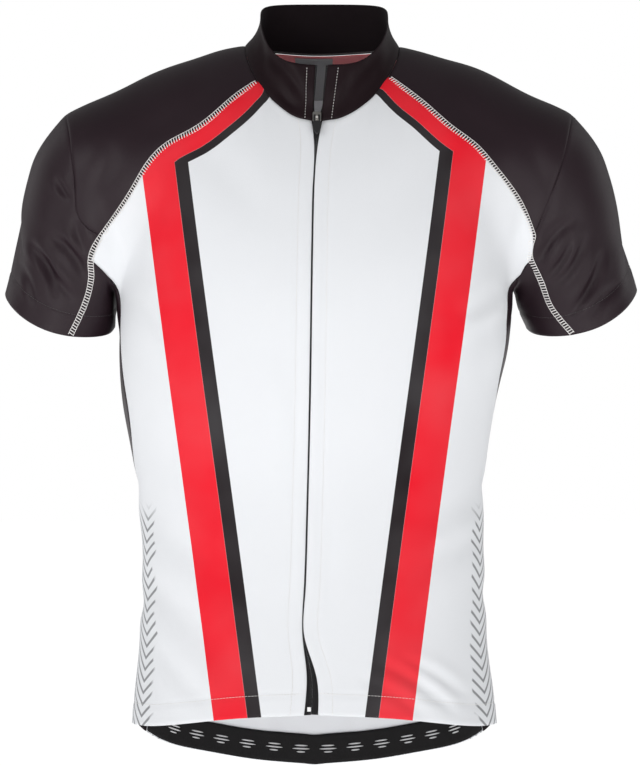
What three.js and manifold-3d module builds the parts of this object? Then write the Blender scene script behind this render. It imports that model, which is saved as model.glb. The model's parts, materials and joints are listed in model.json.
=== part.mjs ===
// Short-sleeved cycling jersey, worn shape with nobody inside it.
// Millimetres, +Z up, front towards -Y. The origin is the middle of the base of the neck,
// at the height of the shoulder points, which is where the wearer holds it.

import * as THREE from "three";
import Module from "manifold-3d";

// Cloth and sewing
const WALL = 1.2; // cloth thickness
const SEAM_INSET = 0.2; // each panel stops this far from its seam line
const LAY_GAP = 0.35; // clearance under a piece that lies on a panel
const SETTLE_ROUNDS = 8;
const PROBE = 0.5; // step of the numeric gradient
const CAST = { step: 2, limit: 400, halvings: 24 }; // search along a ray for the outer face
const INSIDE = { x: 90, y: 4, z: -170 }; // places inside the form, where rays start
const ARC_PIECES = 400; // for the lengths along a seam

// Torso: level sections, half width, depth to the front and to the back, sideways lean
const TORSO = [
  { z: -725, half: 178, front: 116, back: 120, lean: -4 },
  { z: -648, half: 176, front: 116, back: 118, lean: -4 },
  { z: -575, half: 168, front: 110, back: 112, lean: -5 },
  { z: -498, half: 165, front: 106, back: 106, lean: -5 },
  { z: -420, half: 168, front: 108, back: 104, lean: -8 },
  { z: -342, half: 181, front: 118, back: 110, lean: -9 },
  { z: -284, half: 189, front: 124, back: 116, lean: -4 },
  { z: -210, half: 190, front: 126, back: 122, lean: 0 },
  { z: -140, half: 190, front: 120, back: 122, lean: 0 },
  { z: -80, half: 196, front: 112, back: 118, lean: 0 },
  { z: 60, half: 196, front: 112, back: 118, lean: 0 },
];
const SECTION_POWER = 2.35; // 2 is an ellipse, more is squarer

// Shoulders: height of the shoulder ridge at each distance from the middle
const RIDGE = [
  { out: 0, left: 5, right: 5 },
  { out: 40, left: 5, right: 5 },
  { out: 78, left: 1, right: 1 },
  { out: 96, left: -3, right: -3 },
  { out: 125, left: -12.5, right: -11.5 },
  { out: 153, left: -21.5, right: -19.5 },
  { out: 178, left: -31, right: -28.5 },
  { out: 201, left: -41, right: -38.5 },
  { out: 223, left: -53, right: -52 },
  { out: 260, left: -80, right: -80 },
];
const RIDGE_Y = 8;
const ROOF_RADIUS = { front: 58, back: 105 };
const ROOF_BLEND = 46;

// Sleeves: a tapering tube round a straight axis, sizes along that axis
const ARM_TOP = { out: 203, y: 6, z: -118 };
const ARM_END = { out: 255, y: 20, z: -259 };
const ARM_SWAY = 3; // the right sleeve stands out by this much, the left hangs in
const ARM = [
  { along: -60, half: 64, depth: 72 },
  { along: 0, half: 72, depth: 74 },
  { along: 50, half: 70.5, depth: 72 },
  { along: 100, half: 61, depth: 66 },
  { along: 150, half: 57, depth: 61 },
  { along: 230, half: 54, depth: 59 },
];
const ARM_BLEND = [
  { z: -330, width: 6 },
  { z: -250, width: 16 },
  { z: -220, width: 28 },
  { z: -190, width: 38 },
  { z: -150, width: 46 },
  { z: -80, width: 46 },
  { z: 0, width: 36 },
];

// Slit of air between sleeve and side, from the armpit down
const ARMPIT_Z = -234;
const SLIT_BLEND = 5;
const PIT_DROPS = [8, 20]; // where the side panel's middle line leaves the armpit
const SLIT = [
  { z: -330, leftMid: 198.5, leftHalf: 3.2, rightMid: 200, rightHalf: 13 },
  { z: -275, leftMid: 197.6, leftHalf: 2, rightMid: 195.3, rightHalf: 8.2 },
  { z: -255, leftMid: 197.2, leftHalf: 1.9, rightMid: 191.5, rightHalf: 3.4 },
  { z: -235, leftMid: 197, leftHalf: 1.8, rightMid: 189.8, rightHalf: 1.8 },
];

// Neck seam: a squarish egg in plan, and where the raglan seams leave it, in degrees from the front
const NECK = { left: 71.5, right: 78.5, front: 87, back: 50, power: 0.78 }; // power 1 is an ellipse
const NECK_FRONT_ANGLE = { left: 49, right: 53.5 };
const NECK_BACK_ANGLE = 128;

// Seams on the front, distance out from the middle at each height
const RAGLAN_FRONT = [
  { z: -51, left: 74, right: 87 },
  { z: -72, left: 97, right: 111 },
  { z: -88, left: 119, right: 129.5 },
  { z: -99, left: 140, right: 145 },
  { z: -110, left: 154, right: 157 },
  { z: -121, left: 162, right: 165 },
  { z: -150, left: 179.5, right: 187.5 },
  { z: -178, left: 200, right: 202 },
  { z: -195, left: 212, right: 205 },
  { z: -210, left: 217, right: 203 },
];
const CAP_FRONT = [
  { z: -167, left: 229, right: 213 },
  { z: -130, left: 232, right: 227.5 },
  { z: -87, left: 238.5, right: 239.5 },
];
const LADDER_FRONT = [
  { z: -231, left: 217.5, right: 213.5 },
  { z: -253, left: 224.5, right: 222.5 },
];

// Seams on the back, the same on both sides
const RAGLAN_BACK = [
  { z: -14, out: 86 },
  { z: -33, out: 112 },
  { z: -58, out: 136 },
  { z: -88, out: 157 },
  { z: -122, out: 176 },
  { z: -158, out: 194 },
  { z: -185, out: 205 },
  { z: -206, out: 211 },
];
const CAP_BACK = [
  { z: -160, out: 222 },
  { z: -125, out: 231 },
  { z: -85, out: 239 },
];
const CAP_TOP = { out: 245, y: 8 };
const LADDER_BACK = [
  { z: -228, out: 216 },
  { z: -250, out: 224 },
];

// Where the front and back panels turn into the side panel under the arm
const TURN_FRONT = [
  { z: -217, left: 209.5, right: 198.5 },
  { z: -227, left: 199, right: 189.5 },
  { z: -238, left: 192, right: 182 },
];
const TURN_BACK = [
  { z: -211, out: 199 },
  { z: -220, out: 186.5 },
  { z: -234, out: 178.5 },
];

// Side panel: distance back from the side line, of its front and back seams
const SIDE = [
  { z: -660, leftFront: 22, rightFront: 22, back: 50 },
  { z: -600, leftFront: 26, rightFront: 27, back: 56 },
  { z: -520, leftFront: 32, rightFront: 34, back: 64 },
  { z: -455, leftFront: 18, rightFront: 30, back: 66 },
  { z: -405, leftFront: -15, rightFront: 16, back: 66 },
  { z: -360, leftFront: -39, rightFront: -5, back: 62 },
  { z: -322, leftFront: -36, rightFront: -28, back: 56 },
  { z: -288, leftFront: -28, rightFront: -38, back: 50 },
  { z: -258, leftFront: -26, rightFront: -44, back: 48 },
];

// Bottom edge: height at each angle from the front, in degrees
const HEM = [
  { angle: 0, z: -635.5 },
  { angle: 35, z: -640 },
  { angle: 66, z: -651 },
  { angle: 84, z: -654 },
  { angle: 98, z: -658 },
  { angle: 108, z: -671 },
  { angle: 118, z: -684 },
  { angle: 130, z: -693.5 },
  { angle: 152, z: -705 },
  { angle: 180, z: -711 },
];

// Cuffs: distance along the sleeve, with the sag of the front and back edges
const CUFF_ALONG = 146;
const CUFF_SAG = { both: 11.5, front: 5.5 };
const CUFF_SEAM_FRONT = 110; // ladder seam, degrees from the outer side through the front
const CUFF_SEAM_BACK = 112;

// Zip: middle line and half the gap between the two fronts
const ZIP = [
  { z: -637, x: -7, gap: 4.2 },
  { z: -614, x: -5.6, gap: 5.2 },
  { z: -600, x: -6.5, gap: 3 },
  { z: -588, x: -8, gap: 0.4 },
  { z: -566, x: -14, gap: 0.1 },
  { z: -491, x: -11.7, gap: 0.1 },
  { z: -342, x: -8, gap: 0.1 },
  { z: -155, x: -5, gap: 0.1 },
  { z: -114, x: -3, gap: 0.15 },
  { z: -96, x: -2, gap: 1.6 },
  { z: -79, x: -1.5, gap: 4.2 },
];
// The tapes meet behind the zip and part at the collar's top
const TAPE = { width: 11, thick: 1, meet: 0.3, part: 1.8 };

// Collar: plan of its top edge, and the gap between its two ends
const COLLAR_TOP = { left: 56.5, right: 67.5, front: 79, back: 52, power: 0.72 };
const COLLAR_RIM = { front: -25.5, back: 47, swell: 0.7, dip: 2 }; // heights of that edge
const COLLAR_ENDS = { bottomLeft: -5.8, bottomRight: 2.7, topLeft: -3.6, topRight: 9.5 };
const COLLAR_ENDS_FADE = 24; // degrees from the zip over which the ends are shifted
const COLLAR_LEAN_POWER = 2.4; // how soon the sides turn upright

// Largest folds: soft troughs, from one point to another in front view
const FOLDS = [
  { x0: 206, z0: -202, x1: 241, z1: -172, depth: 3, width: 9 },
  { x0: 224, z0: -230, x1: 241, z1: -203, depth: 2.4, width: 8 },
  { x0: 245, z0: -254, x1: 268, z1: -216, depth: 2.4, width: 8 },
  { x0: -223, z0: -232, x1: -250, z1: -193, depth: 3.2, width: 9 },
  { x0: -238, z0: -252, x1: -267, z1: -210, depth: 2.8, width: 8 },
  { x0: 150, z0: -612, x1: 108, z1: -646, depth: 2, width: 10 },
];
const FOLD_ENDS = 0.35; // share of a fold's depth that is left at its two ends
const COLLAR_FOLDS = [
  { angle0: -46, up0: 0.95, angle1: -13, up1: 0.2, depth: 2.6, width: 0.16 },
  { angle0: 44, up0: 0.9, angle1: 17, up1: 0.1, depth: 2.4, width: 0.16 },
  { angle0: -70, up0: 0.85, angle1: -44, up1: 0.3, depth: 1.6, width: 0.14 },
];
const COLLAR_FOLD_START = 0.25; // share of the collar's height over which its folds begin

// Panels laid on the back
const POCKET = { left: 3, right: 23, bottom: 2, top: 8 }; // columns and rows of the back panel
const GRIPPER = { height: 30, thick: 1, rows: 2, up: 0.8 };
const LABEL = { width: 40, height: 60, thick: 0.9, shift: 6, drop: 3 };

// Zip slider, with its arch, and the pull tab that swings on it
const SLIDER = { z: -76.5, width: 8, height: 10, thick: 2.6, stand: 1.6, corner: 2, curve: 3 };
const ARCH = {
  width: 2.2, height: 7.2, rise: 4.2, sink: 1, shoulder: 0.6,
  hollow: 4.6, hollowRise: 2.6, hollowShoulder: 0.7,
};
const TAB = {
  bar: 1.1, legGap: 3.6, legWidth: 1.3, neck: 6.4, length: 20, half: 4.2, thick: 1.4,
  webbing: 0.6, flare: 1, widest: 3.5, taper: 0.75, curve: 4,
};
const STOP = { width: 3.4, height: 4, thick: 1.6, up: 5, aside: -1.8 };

// Grid counts
const COUNT = {
  neckFront: 4,
  neckSide: 12,
  neckBack: 8,
  raglan: 9,
  side: 18,
  sleeve: 9,
  gusset: 6,
  collar: 4,
};
const SIDE_EASE = 1.2; // rows crowd towards the armpit

/** Smooth value of one column of a table at a place in its key column. */
function read(table, key, column, place) {
  const last = table.length - 1;
  const at = Math.min(Math.max(place, table[0][key]), table[last][key]);
  let row = 0;
  while (row < last - 1 && at > table[row + 1][key]) row += 1;
  const slope = (index) => {
    const before = table[Math.max(index - 1, 0)];
    const after = table[Math.min(index + 1, last)];
    return (after[column] - before[column]) / (after[key] - before[key]);
  };
  const span = table[row + 1][key] - table[row][key];
  const u = (at - table[row][key]) / span;
  const rise = 3 * u * u - 2 * u * u * u;
  const level = table[row][column] * (1 - rise) + table[row + 1][column] * rise;
  const bend = slope(row) * (u ** 3 - 2 * u * u + u) + slope(row + 1) * (u ** 3 - u * u);
  return level + bend * span;
}

/** Lesser of two distances with a rounded join. */
function softMin(a, b, width) {
  const near = Math.max(width - Math.abs(a - b), 0) / width;
  return Math.min(a, b) - (near * near * width) / 4;
}

/** Greater of two distances with a rounded join. */
function softMax(a, b, width) {
  return -softMin(-a, -b, width);
}

/** Distance of a plan point from a torso section. */
function torsoDistance(p) {
  const half = read(TORSO, "z", "half", p.z);
  const depth = read(TORSO, "z", p.y < 0 ? "front" : "back", p.z);
  const dx = p.x - read(TORSO, "z", "lean", p.z);
  const sum = (Math.abs(dx) / half) ** SECTION_POWER + (Math.abs(p.y) / depth) ** SECTION_POWER;
  const share = Math.max(sum ** (1 / SECTION_POWER), 1e-6);
  const radius = Math.hypot(dx, p.y);
  return radius - radius / share;
}

/** Distance above the shoulders. */
function roofDistance(p) {
  const out = Math.abs(p.x);
  const ridge = (place) => read(RIDGE, "out", p.x > 0 ? "right" : "left", place);
  const away = p.y - RIDGE_Y;
  const radius = away < 0 ? ROOF_RADIUS.front : ROOF_RADIUS.back;
  const fall = ridge(out + 1) - ridge(out - 1);
  const height = p.z - ridge(out) + (away * away) / (2 * radius);
  return height / Math.sqrt(1 + (fall / 2) ** 2 + (away / radius) ** 2);
}

/** Axis and cross directions of the sleeve on one side, with x measured outwards. */
function armFrame(side) {
  const top = new THREE.Vector3(ARM_TOP.out, ARM_TOP.y, ARM_TOP.z);
  const end = new THREE.Vector3(ARM_END.out + side * ARM_SWAY, ARM_END.y, ARM_END.z);
  const axis = end.sub(top).normalize();
  const out = new THREE.Vector3(-axis.z, 0, axis.x).normalize();
  const fore = new THREE.Vector3().crossVectors(axis, out);
  return { top, axis, out, fore };
}
const ARM_FRAMES = { left: armFrame(-1), right: armFrame(1) };

/** Distance from the sleeve tube. */
function armDistance(p) {
  const frame = p.x > 0 ? ARM_FRAMES.right : ARM_FRAMES.left;
  const d = new THREE.Vector3(Math.abs(p.x), p.y, p.z).sub(frame.top);
  const along = d.dot(frame.axis);
  const over = Math.min(along, 0);
  const half = read(ARM, "along", "half", along);
  const depth = read(ARM, "along", "depth", along);
  const u = d.dot(frame.out);
  const v = d.dot(frame.fore);
  const share = Math.max(Math.hypot(u / half, v / depth, over / half), 1e-6);
  const radius = Math.hypot(u, v, over);
  return radius - radius / share;
}

/** Slit of air between the sleeve and the side: negative inside it. */
function slitDistance(p) {
  const name = p.x > 0 ? "right" : "left";
  const mid = read(SLIT, "z", `${name}Mid`, p.z);
  const half = read(SLIT, "z", `${name}Half`, p.z);
  return softMax(Math.abs(Math.abs(p.x) - mid) - half, p.z - ARMPIT_Z, SLIT_BLEND);
}

/** Signed distance-like value of the whole garment's outer face. */
function form(p) {
  const trunk = softMax(torsoDistance(p), roofDistance(p), ROOF_BLEND);
  const whole = softMin(trunk, armDistance(p), read(ARM_BLEND, "z", "width", p.z));
  return softMax(whole, -slitDistance(p), SLIT_BLEND);
}

/** Outward slope of the form at a point. */
function slopeAt(p) {
  const slope = new THREE.Vector3();
  for (const axis of ["x", "y", "z"]) {
    const a = p.clone();
    const b = p.clone();
    a[axis] += PROBE;
    b[axis] -= PROBE;
    slope[axis] = (form(a) - form(b)) / (2 * PROBE);
  }
  return slope;
}

/** Moves a point onto the garment's outer face. */
function settle(point) {
  const p = point.clone();
  for (let round = 0; round < SETTLE_ROUNDS; round += 1) {
    const slope = slopeAt(p);
    p.addScaledVector(slope, -form(p) / Math.max(slope.lengthSq(), 1e-4));
  }
  return p;
}

/** First point of the outer face along a ray that starts inside. */
function castOut(start, direction) {
  let far = CAST.step;
  while (form(start.clone().addScaledVector(direction, far)) < 0 && far < CAST.limit) far += CAST.step;
  let near = far - CAST.step;
  for (let round = 0; round < CAST.halvings; round += 1) {
    const middle = (near + far) / 2;
    if (form(start.clone().addScaledVector(direction, middle)) < 0) near = middle;
    else far = middle;
  }
  return start.clone().addScaledVector(direction, near);
}

/** Point of the outer face seen from the front (facing -1) or the back (facing 1). */
function seen(x, z, facing) {
  return castOut(new THREE.Vector3(x, facing * INSIDE.y, z), new THREE.Vector3(0, facing, 0));
}

/** Point of the outer face straight above a plan point. */
function above(x, y) {
  return castOut(new THREE.Vector3(x, y, INSIDE.z), new THREE.Vector3(0, 0, 1));
}

/** Moves a point straight back onto the outer face. */
function spreadBack(p) {
  return settle(seen(p.x, p.z, 1));
}

/** Point on the torso's side at a height and a distance back. */
function flank(side, y, z) {
  return castOut(new THREE.Vector3(side * INSIDE.x, y, z), new THREE.Vector3(side, 0, 0));
}

/** A seam: a smooth line on the outer face through a few points. */
class Seam {
  constructor(points) {
    this.curve = new THREE.CatmullRomCurve3(points, false, "centripetal");
    this.curve.arcLengthDivisions = ARC_PIECES;
  }

  /** Point at a share of the seam's length. */
  at(share) {
    return settle(this.curve.getPointAt(Math.min(Math.max(share, 0), 1)));
  }

  /** Points at a list of shares. */
  pick(shares) {
    return shares.map((share) => this.at(share));
  }
}

/** Nearest whole place from 0 to a last one. */
function clamp(place, last) {
  return Math.min(Math.max(place, 0), last);
}

/** Equal shares from 0 to 1. */
function shares(count) {
  return Array.from({ length: count + 1 }, (_, index) => index / count);
}

/** Name of a side's column in the tables. */
function sideName(side) {
  return side < 0 ? "left" : "right";
}

/** Place on a rounded outline in plan, at an angle from the front, plus to the right. */
function planPlace(outline, angle) {
  const turn = THREE.MathUtils.degToRad(angle);
  const [across, ahead] = [Math.sin(turn), Math.cos(turn)];
  const side = across < 0 ? outline.left : outline.right;
  const reach = ahead > 0 ? outline.front : outline.back;
  const rounded = (share) => Math.sign(share) * Math.abs(share) ** outline.power;
  return { x: side * rounded(across), y: -reach * rounded(ahead) };
}

/** Point of the neck seam at an angle from the front, plus to the right. */
function neckPoint(angle) {
  const { x, y } = planPlace(NECK, angle);
  return above(x, y);
}

/** Point of the bottom edge at an angle from the front, plus to the right. */
function hemPoint(angle) {
  const turn = THREE.MathUtils.degToRad(angle);
  const z = read(HEM, "angle", "z", Math.abs(angle));
  const lean = read(TORSO, "z", "lean", z);
  const direction = new THREE.Vector3(Math.sin(turn), -Math.cos(turn), 0);
  return castOut(new THREE.Vector3(lean, 0, z), direction);
}

/** Angle of a point as seen from the torso's middle line, plus to the right. */
function hemAngle(point) {
  const lean = read(TORSO, "z", "lean", point.z);
  return THREE.MathUtils.radToDeg(Math.atan2(point.x - lean, -point.y));
}

/** Point of a cuff at an angle from the sleeve's outer side, plus through the front. */
function cuffPoint(side, angle) {
  const frame = ARM_FRAMES[sideName(side)];
  const turn = THREE.MathUtils.degToRad(angle);
  const fore = Math.sin(turn);
  const along = CUFF_ALONG + CUFF_SAG.both * fore * fore + CUFF_SAG.front * fore;
  const start = frame.top.clone().addScaledVector(frame.axis, along);
  const direction = frame.out.clone().multiplyScalar(Math.cos(turn));
  const front = frame.fore.y < 0 ? 1 : -1;
  direction.addScaledVector(frame.fore, front * fore);
  start.x *= side;
  direction.x *= side;
  return castOut(start, direction);
}

/** Middle line of the zip at a height. */
function zipMiddle(z) {
  return read(ZIP, "z", "x", z);
}

/** Edge of one front at the zip, at a height. */
function zipEdge(side, z) {
  return seen(zipMiddle(z) + side * Math.max(read(ZIP, "z", "gap", z), 0.1), z, -1);
}

/** Every seam line of one side of the garment. */
function seamsOf(side) {
  const name = sideName(side);
  const front = (row) => seen(side * row[name], row.z, -1);
  const back = (row) => seen(side * row.out, row.z, 1);
  const sideFront = (row) => flank(side, row[`${name}Front`], row.z);
  const sideBack = (row) => flank(side, row.back, row.z);

  const neckFront = neckPoint(side * NECK_FRONT_ANGLE[name]);
  const neckBack = neckPoint(side * NECK_BACK_ANGLE);
  const raglanFront = new Seam([neckFront, ...RAGLAN_FRONT.map(front)]);
  const raglanBack = new Seam([neckBack, ...RAGLAN_BACK.map(back)]);
  const pitFront = raglanFront.at(1);
  const pitBack = raglanBack.at(1);
  const frontCorner = raglanFront.at(1 - 1 / COUNT.raglan);
  const backCorner = raglanBack.at(1 - 1 / COUNT.raglan);
  const cap = new Seam([
    frontCorner,
    ...CAP_FRONT.map(front),
    above(side * CAP_TOP.out, CAP_TOP.y),
    ...CAP_BACK.map(back).reverse(),
    backCorner,
  ]);
  const hemFront = flank(side, SIDE[0][`${name}Front`], SIDE[0].z);
  const hemBack = flank(side, SIDE[0].back, SIDE[0].z);
  const hemFrontAngle = hemAngle(hemFront);
  const hemBackAngle = hemAngle(hemBack);
  const edgeFront = new Seam([
    hemPoint(hemFrontAngle),
    ...SIDE.slice(1).map(sideFront),
    ...[...TURN_FRONT].reverse().map(front),
    pitFront,
  ]);
  const edgeBack = new Seam([
    hemPoint(hemBackAngle),
    ...SIDE.slice(1).map(sideBack),
    ...[...TURN_BACK].reverse().map(back),
    pitBack,
  ]);
  const ladderFront = new Seam([pitFront, ...LADDER_FRONT.map(front), cuffPoint(side, CUFF_SEAM_FRONT)]);
  const ladderBack = new Seam([pitBack, ...LADDER_BACK.map(back), cuffPoint(side, -CUFF_SEAM_BACK)]);
  const slitAt = (z, way) => {
    const mid = read(SLIT, "z", `${name}Mid`, z);
    const half = read(SLIT, "z", `${name}Half`, z);
    return settle(new THREE.Vector3(side * (mid + way * half), INSIDE.y, z));
  };
  const pit = settle(new THREE.Vector3(side * SLIT[SLIT.length - 1][`${name}Mid`], INSIDE.y, ARMPIT_Z));
  const middle = (row) => flank(side, (row[`${name}Front`] + row.back) / 2, row.z);
  const pitDown = PIT_DROPS.map((drop) => ARMPIT_Z - drop);
  const middleSide = new Seam([
    hemPoint((hemFrontAngle + hemBackAngle) / 2),
    ...SIDE.slice(1, -1).map(middle),
    slitAt(pitDown[1], -1),
    slitAt(pitDown[0], -1),
    pit,
  ]);
  const middleSleeve = new Seam([pit, slitAt(pitDown[0], 1), slitAt(pitDown[1], 1), cuffPoint(side, 180)]);
  return {
    raglanFront, raglanBack, cap, edgeFront, edgeBack, ladderFront, ladderBack,
    middleSide, middleSleeve, hemFrontAngle, hemBackAngle,
  };
}

/** Depth of the folds at a point of the front or back. */
function foldDepth(p) {
  let depth = 0;
  for (const fold of FOLDS) {
    const dx = fold.x1 - fold.x0;
    const dz = fold.z1 - fold.z0;
    const run = ((p.x - fold.x0) * dx + (p.z - fold.z0) * dz) / (dx * dx + dz * dz);
    const t = Math.min(Math.max(run, 0), 1);
    const away = Math.hypot(p.x - fold.x0 - t * dx, p.z - fold.z0 - t * dz);
    const swell = FOLD_ENDS + (1 - FOLD_ENDS) * Math.sin(Math.PI * t);
    depth += fold.depth * Math.exp(-((away / fold.width) ** 2)) * swell;
  }
  return depth;
}

/** A panel: rows of points on the outer face, with the directions square to it. */
class Panel {
  constructor(points) {
    this.points = points;
    this.normals = points.map((row) => row.map((p) => slopeAt(p).normalize()));
    this.inset();
    this.points.forEach((row, j) => row.forEach((p, i) => {
      p.addScaledVector(this.normals[j][i], -foldDepth(p));
    }));
  }

  /** Draws the four edges in from the seam lines. */
  inset() {
    const rows = this.points.length - 1;
    const columns = this.points[0].length - 1;
    const moves = [];
    const inside = (place, last) => (place === 0) - (place === last);
    const plan = (j, i, dj, di) => {
      const at = (row, column) => this.points[clamp(row, rows)][clamp(column, columns)];
      const along = at(j + dj, i + di).clone().sub(at(j - dj, i - di));
      const across = new THREE.Vector3().crossVectors(this.normals[j][i], along).normalize();
      const inward = at(j + inside(j, rows), i + inside(i, columns)).clone().sub(at(j, i));
      if (across.dot(inward) < 0) across.negate();
      moves.push([j, i, across.multiplyScalar(SEAM_INSET)]);
    };
    for (let i = 0; i <= columns; i += 1) {
      plan(0, i, 0, 1);
      plan(rows, i, 0, 1);
    }
    for (let j = 0; j <= rows; j += 1) {
      plan(j, 0, 1, 0);
      plan(j, columns, 1, 0);
    }
    for (const [j, i, move] of moves) this.points[j][i].add(move);
  }

  /** Point and normal between grid points, beyond an edge as well. */
  between(j, i) {
    const rows = this.points.length - 1;
    const columns = this.points[0].length - 1;
    const j0 = Math.min(Math.max(Math.floor(j), 0), rows - 1);
    const i0 = Math.min(Math.max(Math.floor(i), 0), columns - 1);
    const blend = (grid) => {
      const low = grid[j0][i0].clone().lerp(grid[j0][i0 + 1], i - i0);
      const high = grid[j0 + 1][i0].clone().lerp(grid[j0 + 1][i0 + 1], i - i0);
      return low.lerp(high, j - j0);
    };
    return { point: blend(this.points), normal: blend(this.normals).normalize() };
  }
}

/** Closed wall between two offsets of a grid of points. */
function wallGeometry(points, normals, outer, inner) {
  const rows = points.length;
  const columns = points[0].length;
  const layer = rows * columns;
  const position = [];
  for (const offset of [outer, inner]) {
    for (let j = 0; j < rows; j += 1) {
      for (let i = 0; i < columns; i += 1) {
        const p = points[j][i].clone().addScaledVector(normals[j][i], offset);
        position.push(p.x, p.y, p.z);
      }
    }
  }
  let turn = 0;
  for (let j = 0; j < rows - 1; j += 1) {
    for (let i = 0; i < columns - 1; i += 1) {
      const along = points[j][i + 1].clone().sub(points[j][i]);
      const up = points[j + 1][i].clone().sub(points[j][i]);
      turn += along.cross(up).dot(normals[j][i]);
    }
  }
  const facesOut = turn > 0;
  const index = [];
  const quad = (a, b, c, d) => (facesOut ? index.push(a, b, c, a, c, d) : index.push(a, c, b, a, d, c));
  const at = (j, i) => j * columns + i;
  for (let j = 0; j < rows - 1; j += 1) {
    for (let i = 0; i < columns - 1; i += 1) {
      const [a, b, c, d] = [at(j, i), at(j, i + 1), at(j + 1, i + 1), at(j + 1, i)];
      quad(a, b, c, d);
      quad(layer + d, layer + c, layer + b, layer + a);
    }
  }
  const vertex = (k) => new THREE.Vector3().fromArray(position, 3 * k);
  const length = (a, b) => vertex(a).distanceTo(vertex(b));
  // Both panels at a seam cut their rims along the shorter diagonal, so the rims stay parallel.
  const rim = (a, b) => {
    const falls = length(a, layer + b) < length(b, layer + a);
    if (falls) quad(a, layer + a, layer + b, b);
    else quad(layer + a, layer + b, b, a);
  };
  for (let i = 0; i < columns - 1; i += 1) {
    rim(at(0, i), at(0, i + 1));
    rim(at(rows - 1, i + 1), at(rows - 1, i));
  }
  for (let j = 0; j < rows - 1; j += 1) {
    rim(at(j, columns - 1), at(j + 1, columns - 1));
    rim(at(j + 1, 0), at(j, 0));
  }
  const geometry = new THREE.BufferGeometry();
  geometry.setAttribute("position", new THREE.Float32BufferAttribute(position, 3));
  geometry.setIndex(index);
  return geometry;
}

/** Grid between four edges that share corners, put on the outer face. */
function patch(bottom, top, start, end, place = settle) {
  const rows = start.length;
  const columns = bottom.length;
  const reach = (line) => {
    const sums = [0];
    for (let k = 1; k < line.length; k += 1) sums.push(sums[k - 1] + line[k].distanceTo(line[k - 1]));
    return sums.map((sum) => sum / sums[sums.length - 1]);
  };
  const [ub, ut, vs, ve] = [bottom, top, start, end].map(reach);
  const grid = [];
  for (let j = 0; j < rows; j += 1) {
    const row = [];
    for (let i = 0; i < columns; i += 1) {
      const v = vs[j] + (ve[j] - vs[j]) * ub[i];
      const u = ub[i] + (ut[i] - ub[i]) * v;
      const p = new THREE.Vector3();
      p.addScaledVector(bottom[i], 1 - v).addScaledVector(top[i], v);
      p.addScaledVector(start[j], 1 - u).addScaledVector(end[j], u);
      p.addScaledVector(bottom[0], -(1 - u) * (1 - v)).addScaledVector(bottom[columns - 1], -u * (1 - v));
      p.addScaledVector(top[0], -(1 - u) * v).addScaledVector(top[columns - 1], -u * v);
      const edge = i === 0 || j === 0 || i === columns - 1 || j === rows - 1;
      row.push(edge ? p : place(p));
    }
    grid.push(row);
  }
  return grid;
}

/** Shares of the side seams, closer together near the armpit. */
function sideShares() {
  return shares(COUNT.side).map((t) => 1 - (1 - t) ** SIDE_EASE);
}

/** Bottom edge between two angles, cut at the shares of a line above it. */
function hemLine(from, to, parts) {
  const steps = 24;
  const seam = new Seam(shares(steps).map((t) => hemPoint(from + (to - from) * t)));
  return parts.map((share) => seam.at(share));
}

/** Shares of a list of points by length. */
function lengthShares(points) {
  const sums = [0];
  for (let k = 1; k < points.length; k += 1) sums.push(sums[k - 1] + points[k].distanceTo(points[k - 1]));
  return sums.map((sum) => sum / sums[sums.length - 1]);
}

/** Neck seam between two angles. */
function neckLine(from, to, count) {
  return shares(count).map((t) => neckPoint(from + (to - from) * t));
}

/** Angle of the neck seam where a front or collar ends beside the zip. */
function neckAngleAt(x) {
  const share = Math.abs(x) / (x < 0 ? NECK.left : NECK.right);
  return Math.sign(x) * THREE.MathUtils.radToDeg(Math.asin(share ** (1 / NECK.power)));
}

/** Front panel of one side. */
function frontPanel(side, seams) {
  const topZ = ZIP[ZIP.length - 1].z;
  const topX = zipMiddle(topZ) + side * read(ZIP, "z", "gap", topZ);
  const neck = neckLine(neckAngleAt(topX), side * NECK_FRONT_ANGLE[sideName(side)], COUNT.neckFront);
  const raglan = seams.raglanFront.pick(shares(COUNT.raglan));
  const top = [...neck, ...raglan.slice(1)];
  const hemX = zipMiddle(HEM[0].z) + side * read(ZIP, "z", "gap", HEM[0].z);
  const hemStart = hemAngle(seen(hemX, HEM[0].z, -1));
  const bottom = hemLine(hemStart, seams.hemFrontAngle, lengthShares(top));
  const parts = sideShares();
  const edge = seams.edgeFront.pick(parts);
  const [low, high] = [bottom[0], top[0]];
  const zip = parts.map((share) => zipEdge(side, low.z + (high.z - low.z) * share));
  zip[0] = low;
  zip[zip.length - 1] = high;
  bottom[bottom.length - 1] = edge[0];
  return new Panel(patch(bottom, top, zip, edge));
}

/** Back panel. */
function backPanel(left, right) {
  const fromLeft = left.raglanBack.pick(shares(COUNT.raglan)).reverse();
  const neck = neckLine(-NECK_BACK_ANGLE, NECK_BACK_ANGLE - 360, COUNT.neckBack);
  const fromRight = right.raglanBack.pick(shares(COUNT.raglan));
  const top = [...fromLeft, ...neck.slice(1), ...fromRight.slice(1)];
  const parts = sideShares();
  const start = left.edgeBack.pick(parts);
  const end = right.edgeBack.pick(parts);
  const around = lengthShares(top);
  const bottom = around.map((share) => {
    const angle = left.hemBackAngle + (right.hemBackAngle - 360 - left.hemBackAngle) * share;
    return hemPoint(angle < -180 ? angle + 360 : angle);
  });
  bottom[0] = start[0];
  bottom[bottom.length - 1] = end[0];
  return new Panel(patch(bottom, top, start, end, spreadBack));
}

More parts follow.
